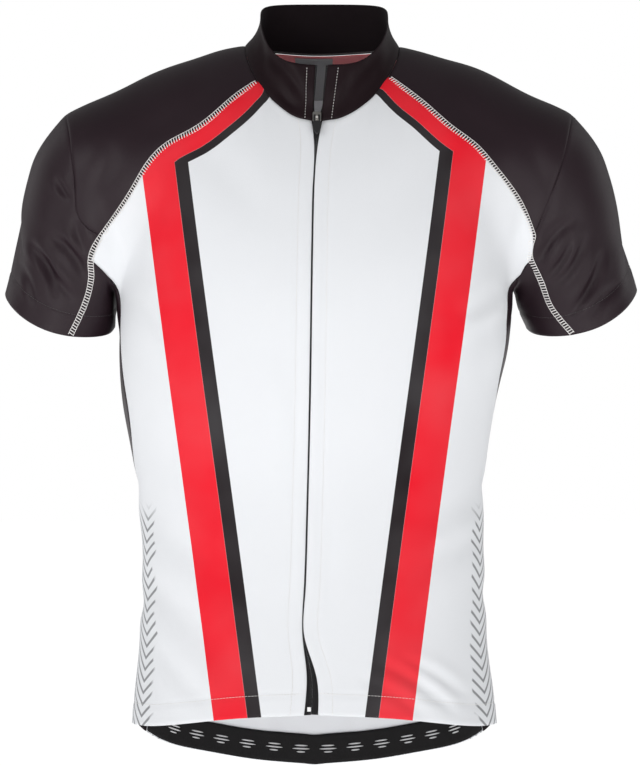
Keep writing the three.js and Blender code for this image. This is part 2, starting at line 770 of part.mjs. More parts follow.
/** Shoulder yoke of one side, from the neck to the sleeve's cap seam. */
function yokePanel(side, seams) {
  const rows = COUNT.raglan - 1;
  const parts = shares(COUNT.raglan).slice(0, rows + 1);
  const front = seams.raglanFront.pick(parts);
  const back = seams.raglanBack.pick(parts);
  const name = sideName(side);
  const neck = neckLine(side * NECK_FRONT_ANGLE[name], side * NECK_BACK_ANGLE, COUNT.neckSide);
  const cap = seams.cap.pick(shares(COUNT.neckSide));
  return new Panel(patch(neck, cap, front, back));
}

/** Sleeve of one side, from the cap seam to the cuff, between the ladder seams. */
function sleevePanel(side, seams) {
  const cap = seams.cap.pick(shares(COUNT.neckSide));
  const parts = shares(COUNT.sleeve);
  const front = [cap[0], ...seams.ladderFront.pick(parts)];
  const back = [cap[cap.length - 1], ...seams.ladderBack.pick(parts)];
  const span = CUFF_SEAM_FRONT + CUFF_SEAM_BACK;
  const cuff = lengthShares(cap).map((share) => cuffPoint(side, CUFF_SEAM_FRONT - span * share));
  return new Panel(patch(cap, cuff, front, back));
}

/** Keeps a point on the body's side (way -1) or the sleeve's side (way 1) of the slit. */
function besideSlit(p, side, way) {
  if (p.z > ARMPIT_Z) return p;
  const mid = read(SLIT, "z", `${sideName(side)}Mid`, p.z);
  const half = read(SLIT, "z", `${sideName(side)}Half`, p.z);
  const limit = mid + way * half;
  const out = Math.abs(p.x);
  return new THREE.Vector3(side * (way < 0 ? Math.min(out, limit) : Math.max(out, limit)), p.y, p.z);
}

/** Side panel of one side, from the hem through the armpit to the cuff. */
function gussetPanel(side, seams) {
  const down = sideShares();
  const out = shares(COUNT.sleeve).slice(1);
  const front = [...seams.edgeFront.pick(down), ...seams.ladderFront.pick(out)];
  const back = [...seams.edgeBack.pick(down), ...seams.ladderBack.pick(out)];
  const middle = [...seams.middleSide.pick(down), ...seams.middleSleeve.pick(out)];
  const last = front.length - 1;
  const cuffSpan = 360 - CUFF_SEAM_FRONT - CUFF_SEAM_BACK;
  const grid = front.map((start, j) => shares(COUNT.gusset).map((u) => {
    const p = new THREE.Vector3();
    p.addScaledVector(start, (1 - u) * (1 - 2 * u));
    p.addScaledVector(middle[j], 4 * u * (1 - u));
    p.addScaledVector(back[j], u * (2 * u - 1));
    if (u === 0 || u === 1) return p;
    if (j === 0) return hemPoint(seams.hemFrontAngle + (seams.hemBackAngle - seams.hemFrontAngle) * u);
    if (j === last) return cuffPoint(side, CUFF_SEAM_FRONT + cuffSpan * u);
    return settle(besideSlit(p, side, j <= COUNT.side ? -1 : 1));
  }));
  return new Panel(grid);
}

/** Depth of the collar's folds at an angle and a share of its height. */
function collarFold(angle, up) {
  let depth = 0;
  for (const fold of COLLAR_FOLDS) {
    const da = (fold.angle1 - fold.angle0) / 90;
    const du = fold.up1 - fold.up0;
    const run = (((angle - fold.angle0) / 90) * da + (up - fold.up0) * du) / (da * da + du * du);
    const t = Math.min(Math.max(run, 0), 1);
    const away = Math.hypot((angle - fold.angle0) / 90 - t * da, up - fold.up0 - t * du);
    depth += fold.depth * Math.exp(-((away / fold.width) ** 2));
  }
  return depth * Math.min(up / COLLAR_FOLD_START, 1);
}

/** Point of the collar at an angle of the neck seam and a share of the height. */
function collarPoint(angle, up) {
  const turn = THREE.MathUtils.degToRad(angle);
  const base = neckPoint(angle);
  const top = planPlace(COLLAR_TOP, angle);
  const share = (top.y + COLLAR_TOP.front) / (COLLAR_TOP.front + COLLAR_TOP.back);
  const rise = share + COLLAR_RIM.swell * share * (1 - share);
  const dip = COLLAR_RIM.dip * Math.max(Math.sin(2 * Math.abs(turn)), 0) ** 2 * (Math.abs(angle) < 90);
  const z = COLLAR_RIM.front + (COLLAR_RIM.back - COLLAR_RIM.front) * rise - dip;
  const ease = 1 - (1 - up) ** COLLAR_LEAN_POWER;
  const lean = up + (ease - up) * Math.sin(turn) ** 2;
  const p = base.clone();
  p.x += (top.x - base.x) * lean + up * openingShift(angle);
  p.y += (top.y - base.y) * lean;
  p.z += (z - base.z) * up;
  return p;
}

/** Sideways move of the collar's top near its two ends, which sets the width of the opening. */
function openingShift(angle) {
  const fade = Math.exp(-((angle / COLLAR_ENDS_FADE) ** 2));
  const [low, high] = angle < 0
    ? [COLLAR_ENDS.bottomLeft, COLLAR_ENDS.topLeft]
    : [COLLAR_ENDS.bottomRight, COLLAR_ENDS.topRight];
  return (high - planPlace(COLLAR_TOP, neckAngleAt(low)).x) * fade;
}

/** Angles of the collar's columns: the same places as the panels below it. */
function collarAngles() {
  const span = (from, to, count) => shares(count).map((t) => from + (to - from) * t);
  const left = span(neckAngleAt(COLLAR_ENDS.bottomLeft), -NECK_FRONT_ANGLE.left, COUNT.neckFront);
  const right = span(neckAngleAt(COLLAR_ENDS.bottomRight), NECK_FRONT_ANGLE.right, COUNT.neckFront);
  const sideLeft = span(-NECK_FRONT_ANGLE.left, -NECK_BACK_ANGLE, COUNT.neckSide).slice(1);
  const back = span(-NECK_BACK_ANGLE, NECK_BACK_ANGLE - 360, COUNT.neckBack).slice(1);
  const sideRight = span(NECK_FRONT_ANGLE.right, NECK_BACK_ANGLE, COUNT.neckSide).reverse().slice(1);
  const fromBack = [...sideRight, ...right.reverse().slice(1)].map((angle) => angle - 360);
  return [...left, ...sideLeft, ...back, ...fromBack];
}

/** Collar: rows of points from the neck seam up. */
function collarRows() {
  const angles = collarAngles().map((angle) => (angle < -180 ? angle + 360 : angle));
  const turned = angles.map((angle) => (angle === -180 ? 180 : angle));
  const points = shares(COUNT.collar).map((up) => turned.map((angle) => collarPoint(angle, up)));
  points[0].forEach((p, i) => p.addScaledVector(points[1][i].clone().sub(p).normalize(), 2 * SEAM_INSET));
  const normals = points.map((row, j) => row.map((p, i) => {
    const last = row.length - 1;
    const along = row[Math.min(i + 1, last)].clone().sub(row[Math.max(i - 1, 0)]);
    const up = points[Math.min(j + 1, COUNT.collar)][i].clone().sub(points[Math.max(j - 1, 0)][i]);
    const normal = new THREE.Vector3().crossVectors(along, up).normalize();
    const outward = new THREE.Vector3(p.x, p.y, 0);
    return normal.dot(outward) < 0 ? normal.negate() : normal;
  }));
  points.forEach((row, j) => row.forEach((p, i) => {
    p.addScaledVector(normals[j][i], -collarFold(turned[i], j / COUNT.collar));
  }));
  return { points, normals };
}

/** Zip tape of one side: behind the front's edge, then up behind the collar's end. */
function tapeRows(side, panel, collar) {
  const lift = WALL + LAY_GAP;
  const points = [];
  const normals = [];
  const add = (inner, outer) => {
    points.push([inner.point, outer.point]);
    normals.push([inner.normal, outer.normal]);
  };
  const rows = panel.points.length - 1;
  for (let j = 0; j <= rows; j += 1) {
    const edge = panel.between(j, 0);
    const beyond = panel.between(j, 1).point.distanceTo(edge.point);
    const reach = Math.abs(edge.point.x - zipMiddle(edge.point.z)) - TAPE.meet;
    add(panel.between(j, -reach / beyond), panel.between(j, TAPE.width / beyond));
  }
  const column = side < 0 ? 0 : collar.points[0].length - 1;
  const next = side < 0 ? 1 : column - 1;
  for (let j = 1; j < collar.points.length; j += 1) {
    const edge = collar.points[j][column];
    const away = collar.points[j][next].clone().sub(edge);
    const reach = TAPE.meet + (TAPE.part * j) / (collar.points.length - 1);
    const inner = edge.clone().addScaledVector(away, -reach / away.length());
    const outer = edge.clone().addScaledVector(away, TAPE.width / away.length());
    const normal = collar.normals[j][column];
    add({ point: inner, normal }, { point: outer, normal });
  }
  return { points, normals, outer: -lift, inner: -lift - TAPE.thick };
}

/** Hem gripper: a band inside the back's bottom edge. */
function gripperRows(panel) {
  const columns = panel.points[0].length;
  const points = [];
  const normals = [];
  for (let row = 0; row <= GRIPPER.rows; row += 1) {
    const cells = Array.from({ length: columns }, (_, i) => {
      const pitch = panel.points[1][i].distanceTo(panel.points[0][i]);
      const up = GRIPPER.up + ((GRIPPER.height - GRIPPER.up) * row) / GRIPPER.rows;
      return panel.between(up / pitch, i);
    });
    points.push(cells.map((cell) => cell.point));
    normals.push(cells.map((cell) => cell.normal));
  }
  return { points, normals };
}

/** Pocket panel: laid on the outside of the back, from its own points. */
function pocketRows(panel) {
  const cut = (grid) => grid.slice(POCKET.bottom, POCKET.top + 1)
    .map((row) => row.slice(POCKET.left, POCKET.right + 1).map((p) => p.clone()));
  return { points: cut(panel.points), normals: cut(panel.normals) };
}

/** Neck label: laid on the inside of the back, below the neck seam. */
function labelRows(panel) {
  const rows = panel.points.length - 1;
  const middle = (panel.points[0].length - 1) / 2;
  const pitch = panel.points[rows][middle + 1].distanceTo(panel.points[rows][middle]);
  const place = (drop, x) => {
    let left = drop;
    let j = rows;
    let length = panel.points[j][middle].distanceTo(panel.points[j - 1][middle]);
    while (left > length && j > 1) {
      left -= length;
      j -= 1;
      length = panel.points[j][middle].distanceTo(panel.points[j - 1][middle]);
    }
    return panel.between(j - left / length, middle - x / pitch);
  };
  const across = [-0.5, 0, 0.5].map((t) => LABEL.shift + t * LABEL.width);
  const cells = shares(3).map((t) => across.map((x) => place(LABEL.drop + t * LABEL.height, x)));
  const pick = (key) => cells.map((row) => row.map((cell) => cell[key]));
  return { points: pick("point"), normals: pick("normal") };
}

const wasm = await Module();
wasm.setup();

/** Closed solid of an indexed geometry, for joining. */
function toSolid(geometry) {
  const vertices = [];
  const faces = [];
  const known = new Map();
  const position = geometry.getAttribute("position");
  const index = geometry.index ? geometry.index.array : Array.from({ length: position.count }, (_, k) => k);
  for (const k of index) {
    const p = [position.getX(k), position.getY(k), position.getZ(k)];
    const key = p.map((value) => value.toFixed(4)).join(" ");
    if (!known.has(key)) {
      known.set(key, vertices.length / 3);
      vertices.push(...p);
    }
    faces.push(known.get(key));
  }
  const mesh = new wasm.Mesh({
    numProp: 3,
    vertProperties: new Float32Array(vertices),
    triVerts: new Uint32Array(faces),
  });
  return new wasm.Manifold(mesh);
}

/** Geometry of a joined solid. */
function toGeometry(solid) {
  const mesh = solid.getMesh();
  const geometry = new THREE.BufferGeometry();
  geometry.setAttribute("position", new THREE.Float32BufferAttribute(mesh.vertProperties, 3));
  geometry.setIndex(Array.from(mesh.triVerts));
  return geometry;
}

/** Shape with rounded corners, centred. */
function roundedShape(width, height, radius) {
  const [w, h] = [width / 2, height / 2];
  const shape = new THREE.Shape();
  shape.moveTo(-w + radius, -h);
  shape.lineTo(w - radius, -h);
  shape.absarc(w - radius, -h + radius, radius, -Math.PI / 2, 0);
  shape.lineTo(w, h - radius);
  shape.absarc(w - radius, h - radius, radius, 0, Math.PI / 2);
  shape.lineTo(-w + radius, h);
  shape.absarc(-w + radius, h - radius, radius, Math.PI / 2, Math.PI);
  shape.lineTo(-w, -h + radius);
  shape.absarc(-w + radius, -h + radius, radius, Math.PI, 1.5 * Math.PI);
  return shape;
}

/** Slider: a plate with a lengthwise arch. Local y is up, local z is away from the cloth. */
function sliderGeometry() {
  const plate = new THREE.ExtrudeGeometry(roundedShape(SLIDER.width, SLIDER.height, SLIDER.corner), {
    depth: SLIDER.thick, bevelEnabled: false, curveSegments: SLIDER.curve,
  });
  const half = ARCH.height / 2;
  const side = new THREE.Shape();
  side.moveTo(-half, -ARCH.sink);
  side.lineTo(half, -ARCH.sink);
  side.lineTo(half, ARCH.rise * ARCH.shoulder);
  side.lineTo(half * ARCH.shoulder, ARCH.rise);
  side.lineTo(-half * ARCH.shoulder, ARCH.rise);
  side.lineTo(-half, ARCH.rise * ARCH.shoulder);
  const gap = ARCH.hollow / 2;
  const hollow = new THREE.Path();
  hollow.moveTo(-gap, 0);
  hollow.lineTo(-gap, ARCH.hollowRise * ARCH.hollowShoulder);
  hollow.lineTo(-gap * ARCH.shoulder, ARCH.hollowRise);
  hollow.lineTo(gap * ARCH.shoulder, ARCH.hollowRise);
  hollow.lineTo(gap, ARCH.hollowRise * ARCH.hollowShoulder);
  hollow.lineTo(gap, 0);
  side.holes.push(hollow);
  const arch = new THREE.ExtrudeGeometry(side, { depth: ARCH.width, bevelEnabled: false });
  arch.translate(0, 0, -ARCH.width / 2);
  // The profile's across axis becomes up, and its up axis becomes away from the cloth.
  arch.applyMatrix4(new THREE.Matrix4().makeBasis(
    new THREE.Vector3(0, 1, 0),
    new THREE.Vector3(0, 0, 1),
    new THREE.Vector3(1, 0, 0),
  ));
  arch.translate(0, 0, SLIDER.thick);
  return toGeometry(toSolid(plate).add(toSolid(arch)));
}

/** Pull tab: a drop with a window at the top, whose bar passes under the arch. */
function tabGeometry() {
  const top = TAB.bar / 2;
  const outer = TAB.legGap / 2 + TAB.legWidth;
  const shape = new THREE.Shape();
  shape.moveTo(-outer, top);
  shape.lineTo(-outer, -TAB.neck);
  shape.quadraticCurveTo(-TAB.half, -TAB.neck - TAB.flare, -TAB.half, -TAB.neck - TAB.widest);
  shape.quadraticCurveTo(-TAB.half, -TAB.length * TAB.taper, 0, -TAB.length);
  shape.quadraticCurveTo(TAB.half, -TAB.length * TAB.taper, TAB.half, -TAB.neck - TAB.widest);
  shape.quadraticCurveTo(TAB.half, -TAB.neck - TAB.flare, outer, -TAB.neck);
  shape.lineTo(outer, top);
  const window = new THREE.Path();
  const half = TAB.legGap / 2;
  window.moveTo(-half, -top);
  window.lineTo(half, -top);
  window.lineTo(half, -TAB.neck + TAB.webbing);
  window.lineTo(-half, -TAB.neck + TAB.webbing);
  shape.holes.push(window);
  const geometry = new THREE.ExtrudeGeometry(shape, {
    depth: TAB.thick, bevelEnabled: false, curveSegments: TAB.curve,
  });
  geometry.translate(0, 0, -TAB.thick / 2);
  return toGeometry(toSolid(geometry));
}

const MATERIALS = {
  white: { color: 0xe6e8ec, roughness: 0.75, metalness: 0 },
  black: { color: 0x2d2226, roughness: 0.7, metalness: 0 },
  tape: { color: 0x141214, roughness: 0.8, metalness: 0 },
  metal: { color: 0x8a8880, roughness: 0.35, metalness: 1 },
  tab: { color: 0x101012, roughness: 0.5, metalness: 0 },
  label: { color: 0x555558, roughness: 0.8, metalness: 0 },
};

const jersey = new THREE.Group();

/** Adds one named mesh to the garment. */
function addPiece(name, geometry, material) {
  const mesh = new THREE.Mesh(geometry, new THREE.MeshStandardMaterial(MATERIALS[material]));
  mesh.name = name;
  jersey.add(mesh);
  return mesh;
}

/** Adds a cloth wall made from a grid. */
function addWall(name, grid, outer, inner, material) {
  return addPiece(name, wallGeometry(grid.points, grid.normals, outer, inner), material);
}

const SIDES = [-1, 1];
const seams = { left: seamsOf(-1), right: seamsOf(1) };
const fronts = {};
for (const side of SIDES) {
  const name = sideName(side);
  fronts[name] = frontPanel(side, seams[name]);
  addWall(`front_${name}`, fronts[name], 0, -WALL, "white");
  addWall(`yoke_${name}`, yokePanel(side, seams[name]), 0, -WALL, "black");
  addWall(`sleeve_${name}`, sleevePanel(side, seams[name]), 0, -WALL, "black");
  addWall(`gusset_${name}`, gussetPanel(side, seams[name]), 0, -WALL, "black");
}
const back = backPanel(seams.left, seams.right);
addWall("back", back, 0, -WALL, "white");
addWall("pocket_back", pocketRows(back), LAY_GAP + WALL, LAY_GAP, "white");
addWall("hem_gripper", gripperRows(back), -WALL - LAY_GAP, -WALL - LAY_GAP - GRIPPER.thick, "tape");
addWall("neck_label", labelRows(back), -WALL - LAY_GAP, -WALL - LAY_GAP - LABEL.thick, "label");

const collar = collarRows();
addWall("collar", collar, 0, -WALL, "black");
for (const side of SIDES) {
  const name = sideName(side);
  const tape = tapeRows(side, fronts[name], collar);
  addWall(`zip_tape_${name}`, tape, tape.outer, tape.inner, "tape");
}

/** Places a small fitting on the front, tilted with the cloth, and gives the way out from the cloth. */
function placeOnFront(mesh, x, z, stand) {
  const cloth = seen(x, z, -1);
  const away = slopeAt(cloth).normalize();
  away.x = 0;
  away.normalize();
  const up = new THREE.Vector3(1, 0, 0).cross(away).negate();
  const across = new THREE.Vector3().crossVectors(up, away);
  mesh.quaternion.setFromRotationMatrix(new THREE.Matrix4().makeBasis(across, up, away));
  mesh.position.copy(cloth).addScaledVector(away, stand);
  return away;
}

const slider = addPiece("slider", sliderGeometry(), "metal");
const away = placeOnFront(slider, zipMiddle(SLIDER.z), SLIDER.z, SLIDER.stand);
const tab = addPiece("pull_tab", tabGeometry(), "tab");
tab.quaternion.copy(slider.quaternion);
tab.position.copy(slider.position).addScaledVector(away, SLIDER.thick + ARCH.hollowRise / 2);
const stop = addPiece("zip_stop", new THREE.BoxGeometry(STOP.width, STOP.height, STOP.thick), "white");
placeOnFront(stop, zipMiddle(HEM[0].z) + STOP.aside, HEM[0].z + STOP.up, -LAY_GAP);

export default jersey;
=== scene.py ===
"""Short-sleeved cycling jersey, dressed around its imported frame.

The outer face of each cloth solid is read back as a grid, made finer, creased and closed as
a thin wall. Metres, +Z up, front towards -Y. Left and right are those of the front view.
"""

import json
import logging
import math
from dataclasses import dataclass, field
from enum import Enum
from typing import Any, Iterable, Sequence

import bmesh
import bpy
import numpy as np
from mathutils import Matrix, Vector

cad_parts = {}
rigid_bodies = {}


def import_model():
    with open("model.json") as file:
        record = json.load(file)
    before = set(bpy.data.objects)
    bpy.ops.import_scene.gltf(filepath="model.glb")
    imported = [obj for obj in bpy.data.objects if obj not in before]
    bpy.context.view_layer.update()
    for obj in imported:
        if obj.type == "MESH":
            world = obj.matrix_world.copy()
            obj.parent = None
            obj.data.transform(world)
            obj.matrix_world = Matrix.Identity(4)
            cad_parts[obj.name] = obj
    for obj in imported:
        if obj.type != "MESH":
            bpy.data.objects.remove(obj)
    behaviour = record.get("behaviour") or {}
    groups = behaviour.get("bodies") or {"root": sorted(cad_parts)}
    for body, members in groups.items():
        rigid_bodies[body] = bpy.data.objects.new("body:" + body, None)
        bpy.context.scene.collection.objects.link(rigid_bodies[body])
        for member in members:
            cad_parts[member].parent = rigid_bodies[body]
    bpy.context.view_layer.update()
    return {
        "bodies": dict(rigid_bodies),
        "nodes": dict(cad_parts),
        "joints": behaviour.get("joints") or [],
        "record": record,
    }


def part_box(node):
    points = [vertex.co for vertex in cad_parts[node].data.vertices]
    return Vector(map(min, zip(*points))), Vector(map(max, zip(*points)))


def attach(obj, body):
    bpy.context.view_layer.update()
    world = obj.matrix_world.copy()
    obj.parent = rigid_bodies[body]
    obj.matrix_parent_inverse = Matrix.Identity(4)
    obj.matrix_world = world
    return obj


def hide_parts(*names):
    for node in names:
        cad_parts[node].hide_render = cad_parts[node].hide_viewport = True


LOG = logging.getLogger("jersey")
MM = 0.001
PHOTO_HEIGHT = 766
FLAT = "flat"  # the mesh attribute with each point's place on the cloth
PIXEL = 0.97 * MM  # size of one pixel at the garment's mid depth
GARMENT = "garment"  # the body that every piece made here rides on
TURN = 2 * math.pi

Colour = tuple[float, float, float]


class Facing(Enum):
    """The side of the garment that a crease shows on."""

    FRONT = (1, -1.0)
    BACK = (1, 1.0)
    LEFT = (0, -1.0)
    RIGHT = (0, 1.0)


class Edge(Enum):
    """An edge of a cloth grid: its axis, and whether it is the last row or column."""

    FIRST_ROW = (0, False)
    LAST_ROW = (0, True)
    FIRST_COLUMN = (1, False)
    LAST_COLUMN = (1, True)


class Print(Enum):
    """What is printed on a knit."""

    PLAIN = "plain"
    BANDS = "bands, seam trim and dashes"
    TRIM = "seam trim and dashes"


def unit(vectors: np.ndarray) -> np.ndarray:
    """Scales vectors to length one.

    Args:
        vectors: an array whose last axis is x, y, z.

    Returns:
        The same array, scaled.
    """
    return vectors / np.maximum(np.linalg.norm(vectors, axis=-1, keepdims=True), 1e-12)


def smooth_step(low: float, high: float, value: np.ndarray) -> np.ndarray:
    """Rises softly from 0 at low to 1 at high.

    Args:
        low: where the rise starts.
        high: where it ends.
        value: the places to read.

    Returns:
        The rise at each place.
    """
    t = np.clip((value - low) / (high - low), 0, 1)
    return t * t * (3 - 2 * t)


def bell(value: np.ndarray, middle: float, width: float) -> np.ndarray:
    """A soft bell, 1 at its middle.

    Args:
        value: the places to read.
        middle: where it is highest.
        width: distance to about a third of its height.

    Returns:
        Its height at each place.
    """
    return np.exp(-((value - middle) / width) ** 2)


def scaled(colour: Colour, factor: float, lift: float = 0.0) -> Colour:
    """A colour made darker or lighter by a factor, and then lifted."""
    return tuple(part * factor + lift for part in colour)


def spline_weights(knots: np.ndarray, at: np.ndarray) -> np.ndarray:
    """Weights of a natural cubic spline.

    Args:
        knots: rising places of the known values.
        at: places to read.

    Returns:
        A matrix that turns the known values into those at the places.
    """
    count = len(knots)
    gap = np.diff(knots)
    left, right = np.eye(count), np.zeros((count, count))
    for k in range(1, count - 1):
        left[k, k - 1:k + 2] = gap[k - 1], 2 * (gap[k - 1] + gap[k]), gap[k]
        right[k, k - 1:k + 2] = 6 / gap[k - 1], -6 / gap[k - 1] - 6 / gap[k], 6 / gap[k]
    bend = np.linalg.solve(left, right)
    cell = np.clip(np.searchsorted(knots, at, side="right") - 1, 0, count - 2)
    after, before, width = at - knots[cell], knots[cell + 1] - at, gap[cell]
    weights = np.zeros((len(at), count))
    line = np.arange(len(at))
    weights[line, cell] += before / width
    weights[line, cell + 1] += after / width
    weights += ((before ** 3 / width - width * before) / 6)[:, None] * bend[cell]
    weights += ((after ** 3 / width - width * after) / 6)[:, None] * bend[cell + 1]
    return weights


@dataclass
class Line:
    """A line on the cloth: points, and the way out from the cloth at each."""

    points: np.ndarray
    normals: np.ndarray

    def spaced(self, pitch: float, skip: float = 0.0) -> "Line":
        """Cuts the line into even steps.

        Args:
            pitch: length of a step.
            skip: length left out at both ends.

        Returns:
            The new line.
        """
        lengths = np.linalg.norm(np.diff(self.points, axis=0), axis=1)
        run = np.concatenate([[0], np.cumsum(lengths)])
        count = max(int((run[-1] - 2 * skip) / pitch), 1)
        at = np.linspace(skip, run[-1] - skip, count + 1)
        points = np.stack([np.interp(at, run, self.points[:, k]) for k in range(3)], axis=1)
        normals = np.stack([np.interp(at, run, self.normals[:, k]) for k in range(3)], axis=1)
        return Line(points, unit(normals))

    def joined(self, other: "Line") -> "Line":
        """This line followed by another."""
        points = np.vstack([self.points, other.points[1:]])
        return Line(points, np.vstack([self.normals, other.normals[1:]]))

    def across(self) -> np.ndarray:
        """The way sideways from the line, in the cloth, at each point."""
        return unit(np.cross(self.normals, np.gradient(self.points, axis=0)))

    def moved(self, out: float, aside: float = 0.0) -> "Line":
        """The line moved out from the cloth and sideways, in metres."""
        return Line(self.points + self.normals * out + self.across() * aside, self.normals)


@dataclass
class Grid:
    """Rows and columns of points on the outer face of a piece of cloth.

    Attributes:
        points: rows, columns and x, y, z.
        sign: 1 where columns crossed with rows points out of the cloth, or -1.
    """

    points: np.ndarray
    sign: float = 1.0

    def normals(self) -> np.ndarray:
        """The way out of the cloth at each point."""
        along = np.gradient(self.points, axis=1)
        up = np.gradient(self.points, axis=0)
        return unit(np.cross(along, up)) * self.sign

    def turned(self, up: Sequence[float], across: Sequence[float]) -> "Grid":
        """Turns the grid so that its rows and columns run in two given ways.

        Args:
            up: the way from the first row to the last.
            across: the way from the first column to the last.

        Returns:
            The turned grid.
        """
        best, score = self, -math.inf
        for swap in (False, True):
            for flip_rows in (False, True):
                for flip_columns in (False, True):
                    points, sign = self.points, self.sign
                    if swap:
                        points, sign = points.transpose(1, 0, 2), -sign
                    if flip_rows:
                        points, sign = points[::-1], -sign
                    if flip_columns:
                        points, sign = points[:, ::-1], -sign
                    rise = unit(points[-1].mean(0) - points[0].mean(0)) @ np.array(up)
                    reach = unit(points[:, -1].mean(0) - points[:, 0].mean(0)) @ np.array(across)
                    if rise + reach > score:
                        best, score = Grid(points, sign), rise + reach
        return best

    def refined(self, step: float) -> "Grid":
        """Puts smooth rows and columns through the grid's points.

        Args:
            step: wanted size of a cell.

        Returns:
            The finer grid.
        """
        points = self.points
        for axis in (0, 1):
            lengths = np.linalg.norm(np.diff(points, axis=axis), axis=2).mean(axis=1 - axis)
            knots = np.concatenate([[0], np.cumsum(lengths)])
            count = max(int(round(knots[-1] / step)), 2)
            weights = spline_weights(knots, np.linspace(0, knots[-1], count + 1))
            points = np.moveaxis(np.tensordot(weights, points, axes=(1, axis)), 0, axis)
        return Grid(points, self.sign)

    def distance(self, edge: Edge) -> np.ndarray:
        """Length over the cloth from one edge to each point.

        Args:
            edge: the edge to start from.

        Returns:
            Rows and columns of lengths.
        """
        axis, last = edge.value
        points = np.flip(self.points, axis) if last else self.points
        steps = np.linalg.norm(np.diff(points, axis=axis), axis=2)
        start = np.zeros_like(np.take(steps, [0], axis=axis))
        run = np.concatenate([start, np.cumsum(steps, axis=axis)], axis=axis)
        return np.flip(run, axis) if last else run

    def line(self, edge: Edge, inset: float = 0.0) -> Line:
        """A line along one edge, at a distance in from it.

        Args:
            edge: the edge to follow.
            inset: distance in from the edge.

        Returns:
            The line.
        """
        axis, last = edge.value
        run, points, normals = self.distance(edge), self.points, self.normals()
        if last:
            run, points, normals = (np.flip(values, axis) for values in (run, points, normals))
        if axis == 0:
            run, points, normals = run.T, points.transpose(1, 0, 2), normals.transpose(1, 0, 2)

        def at_inset(values: np.ndarray) -> np.ndarray:
            """The values at the inset, one for each place along the edge."""
            return np.array([
                [np.interp(inset, run[k], values[k, :, axis]) for axis in range(3)]
                for k in range(len(run))
            ])

        return Line(at_inset(points), unit(at_inset(normals)))

    def moved(self, depth: np.ndarray | float) -> "Grid":
        """The grid moved out from the cloth by a depth at each point."""
        return Grid(self.points + self.normals() * np.asarray(depth)[..., None], self.sign)

    def flat(self) -> tuple[float, float, float]:
        """Widest and longest measure over the cloth, and its area."""
        wide = self.distance(Edge.FIRST_COLUMN)[:, -1].max()
        long = self.distance(Edge.FIRST_ROW)[-1].max()
        rising = self.points[1:, 1:] - self.points[:-1, :-1]
        falling = self.points[1:, :-1] - self.points[:-1, 1:]
        return wide, long, float(np.linalg.norm(np.cross(rising, falling), axis=2).sum() / 2)


class FrameFace:
    """Reads the grid on the outer face of one cloth solid of the frame."""

    RIM = 1.3 * MM  # only the walls' rims have edges this short
    WELD = 0.01 * MM

    def __init__(self, node: bpy.types.Object, heart: Vector) -> None:
        """Welds the solid's mesh and keeps its outer face.

        Args:
            node: the frame's object.
            heart: a point that the outer face looks away from.
        """
        solid = bmesh.new()
        solid.from_mesh(node.data)
        bmesh.ops.remove_doubles(solid, verts=solid.verts, dist=self.WELD)
        self.places = np.array([v.co[:] for v in solid.verts])
        faces = np.array([[v.index for v in f.verts] for f in solid.faces])
        solid.free()
        corners = self.places[faces]
        shortest = np.linalg.norm(corners - np.roll(corners, 1, axis=1), axis=2).min(axis=1)
        layers = self._layers(faces[shortest > self.RIM])
        self.faces = max(layers, key=lambda layer: self._looks_away(layer, np.array(heart)))

    def _layers(self, faces: np.ndarray) -> list[np.ndarray]:
        """Groups triangles that share points."""
        group = np.arange(len(self.places))
        changed = True
        while changed:
            least = group[faces].min(axis=1)
            before = group.copy()
            for k in range(3):
                np.minimum.at(group, faces[:, k], least)
            changed = bool((before != group).any())
        owner = group[faces[:, 0]]
        return [faces[owner == name] for name in np.unique(owner)]

    def _looks_away(self, faces: np.ndarray, heart: np.ndarray) -> float:
        """How far a layer's triangles look away from a point, by area."""
        a, b, c = (self.places[faces[:, k]] for k in range(3))
        away = (a + b + c) / 3 - heart
        return float((np.cross(b - a, c - a) * unit(away)).sum())

    def grid(self) -> Grid:
        """Follows the triangles from a corner, row by row.

        Returns:
            The grid, turned as the solid's triangles happen to lie.
        """
        beside: dict[int, set[int]] = {}
        across: dict[frozenset[int], list[int]] = {}
        for face in self.faces.tolist():
            for k in range(3):
                a, b, c = face[k], face[(k + 1) % 3], face[(k + 2) % 3]
                beside.setdefault(a, set()).update((b, c))
                across.setdefault(frozenset((a, b)), []).append(c)
        rim: dict[int, list[int]] = {}
        for pair, ends in across.items():
            if len(ends) == 1:
                a, b = pair
                rim.setdefault(a, []).append(b)
                rim.setdefault(b, []).append(a)
        tips = {place for place in rim if len(beside[place]) == 2}
        start = next(place for place in rim if len(beside[place]) == 3)

        def follow(first: int) -> list[int]:
            """The rim from the start corner through a neighbour to the next corner."""
            path = [start, first]
            while path[-1] not in tips:
                path.append(next(p for p in rim[path[-1]] if p != path[-2]))
            return path

        row, side = (follow(first) for first in rim[start])
        rows = [row]
        for head in side[1:]:
            new = [head]
            for i in range(len(row) - 1):
                ends = across[frozenset((row[i], new[i]))]
                new.append(next(end for end in ends if i == 0 or end != row[i - 1]))
            rows.append(new)
            row = new
        points = self.places[np.array(rows)]
        a, b, c = (self.places[self.faces[:, k]] for k in range(3))
        turn = np.cross(points[0, 1] - points[0, 0], points[1, 0] - points[0, 0])
        first = np.isin(self.faces, [rows[0][0], rows[0][1], rows[1][1]]).all(axis=1)
        return Grid(points, float(np.sign(turn @ np.cross(b - a, c - a)[first][0])))


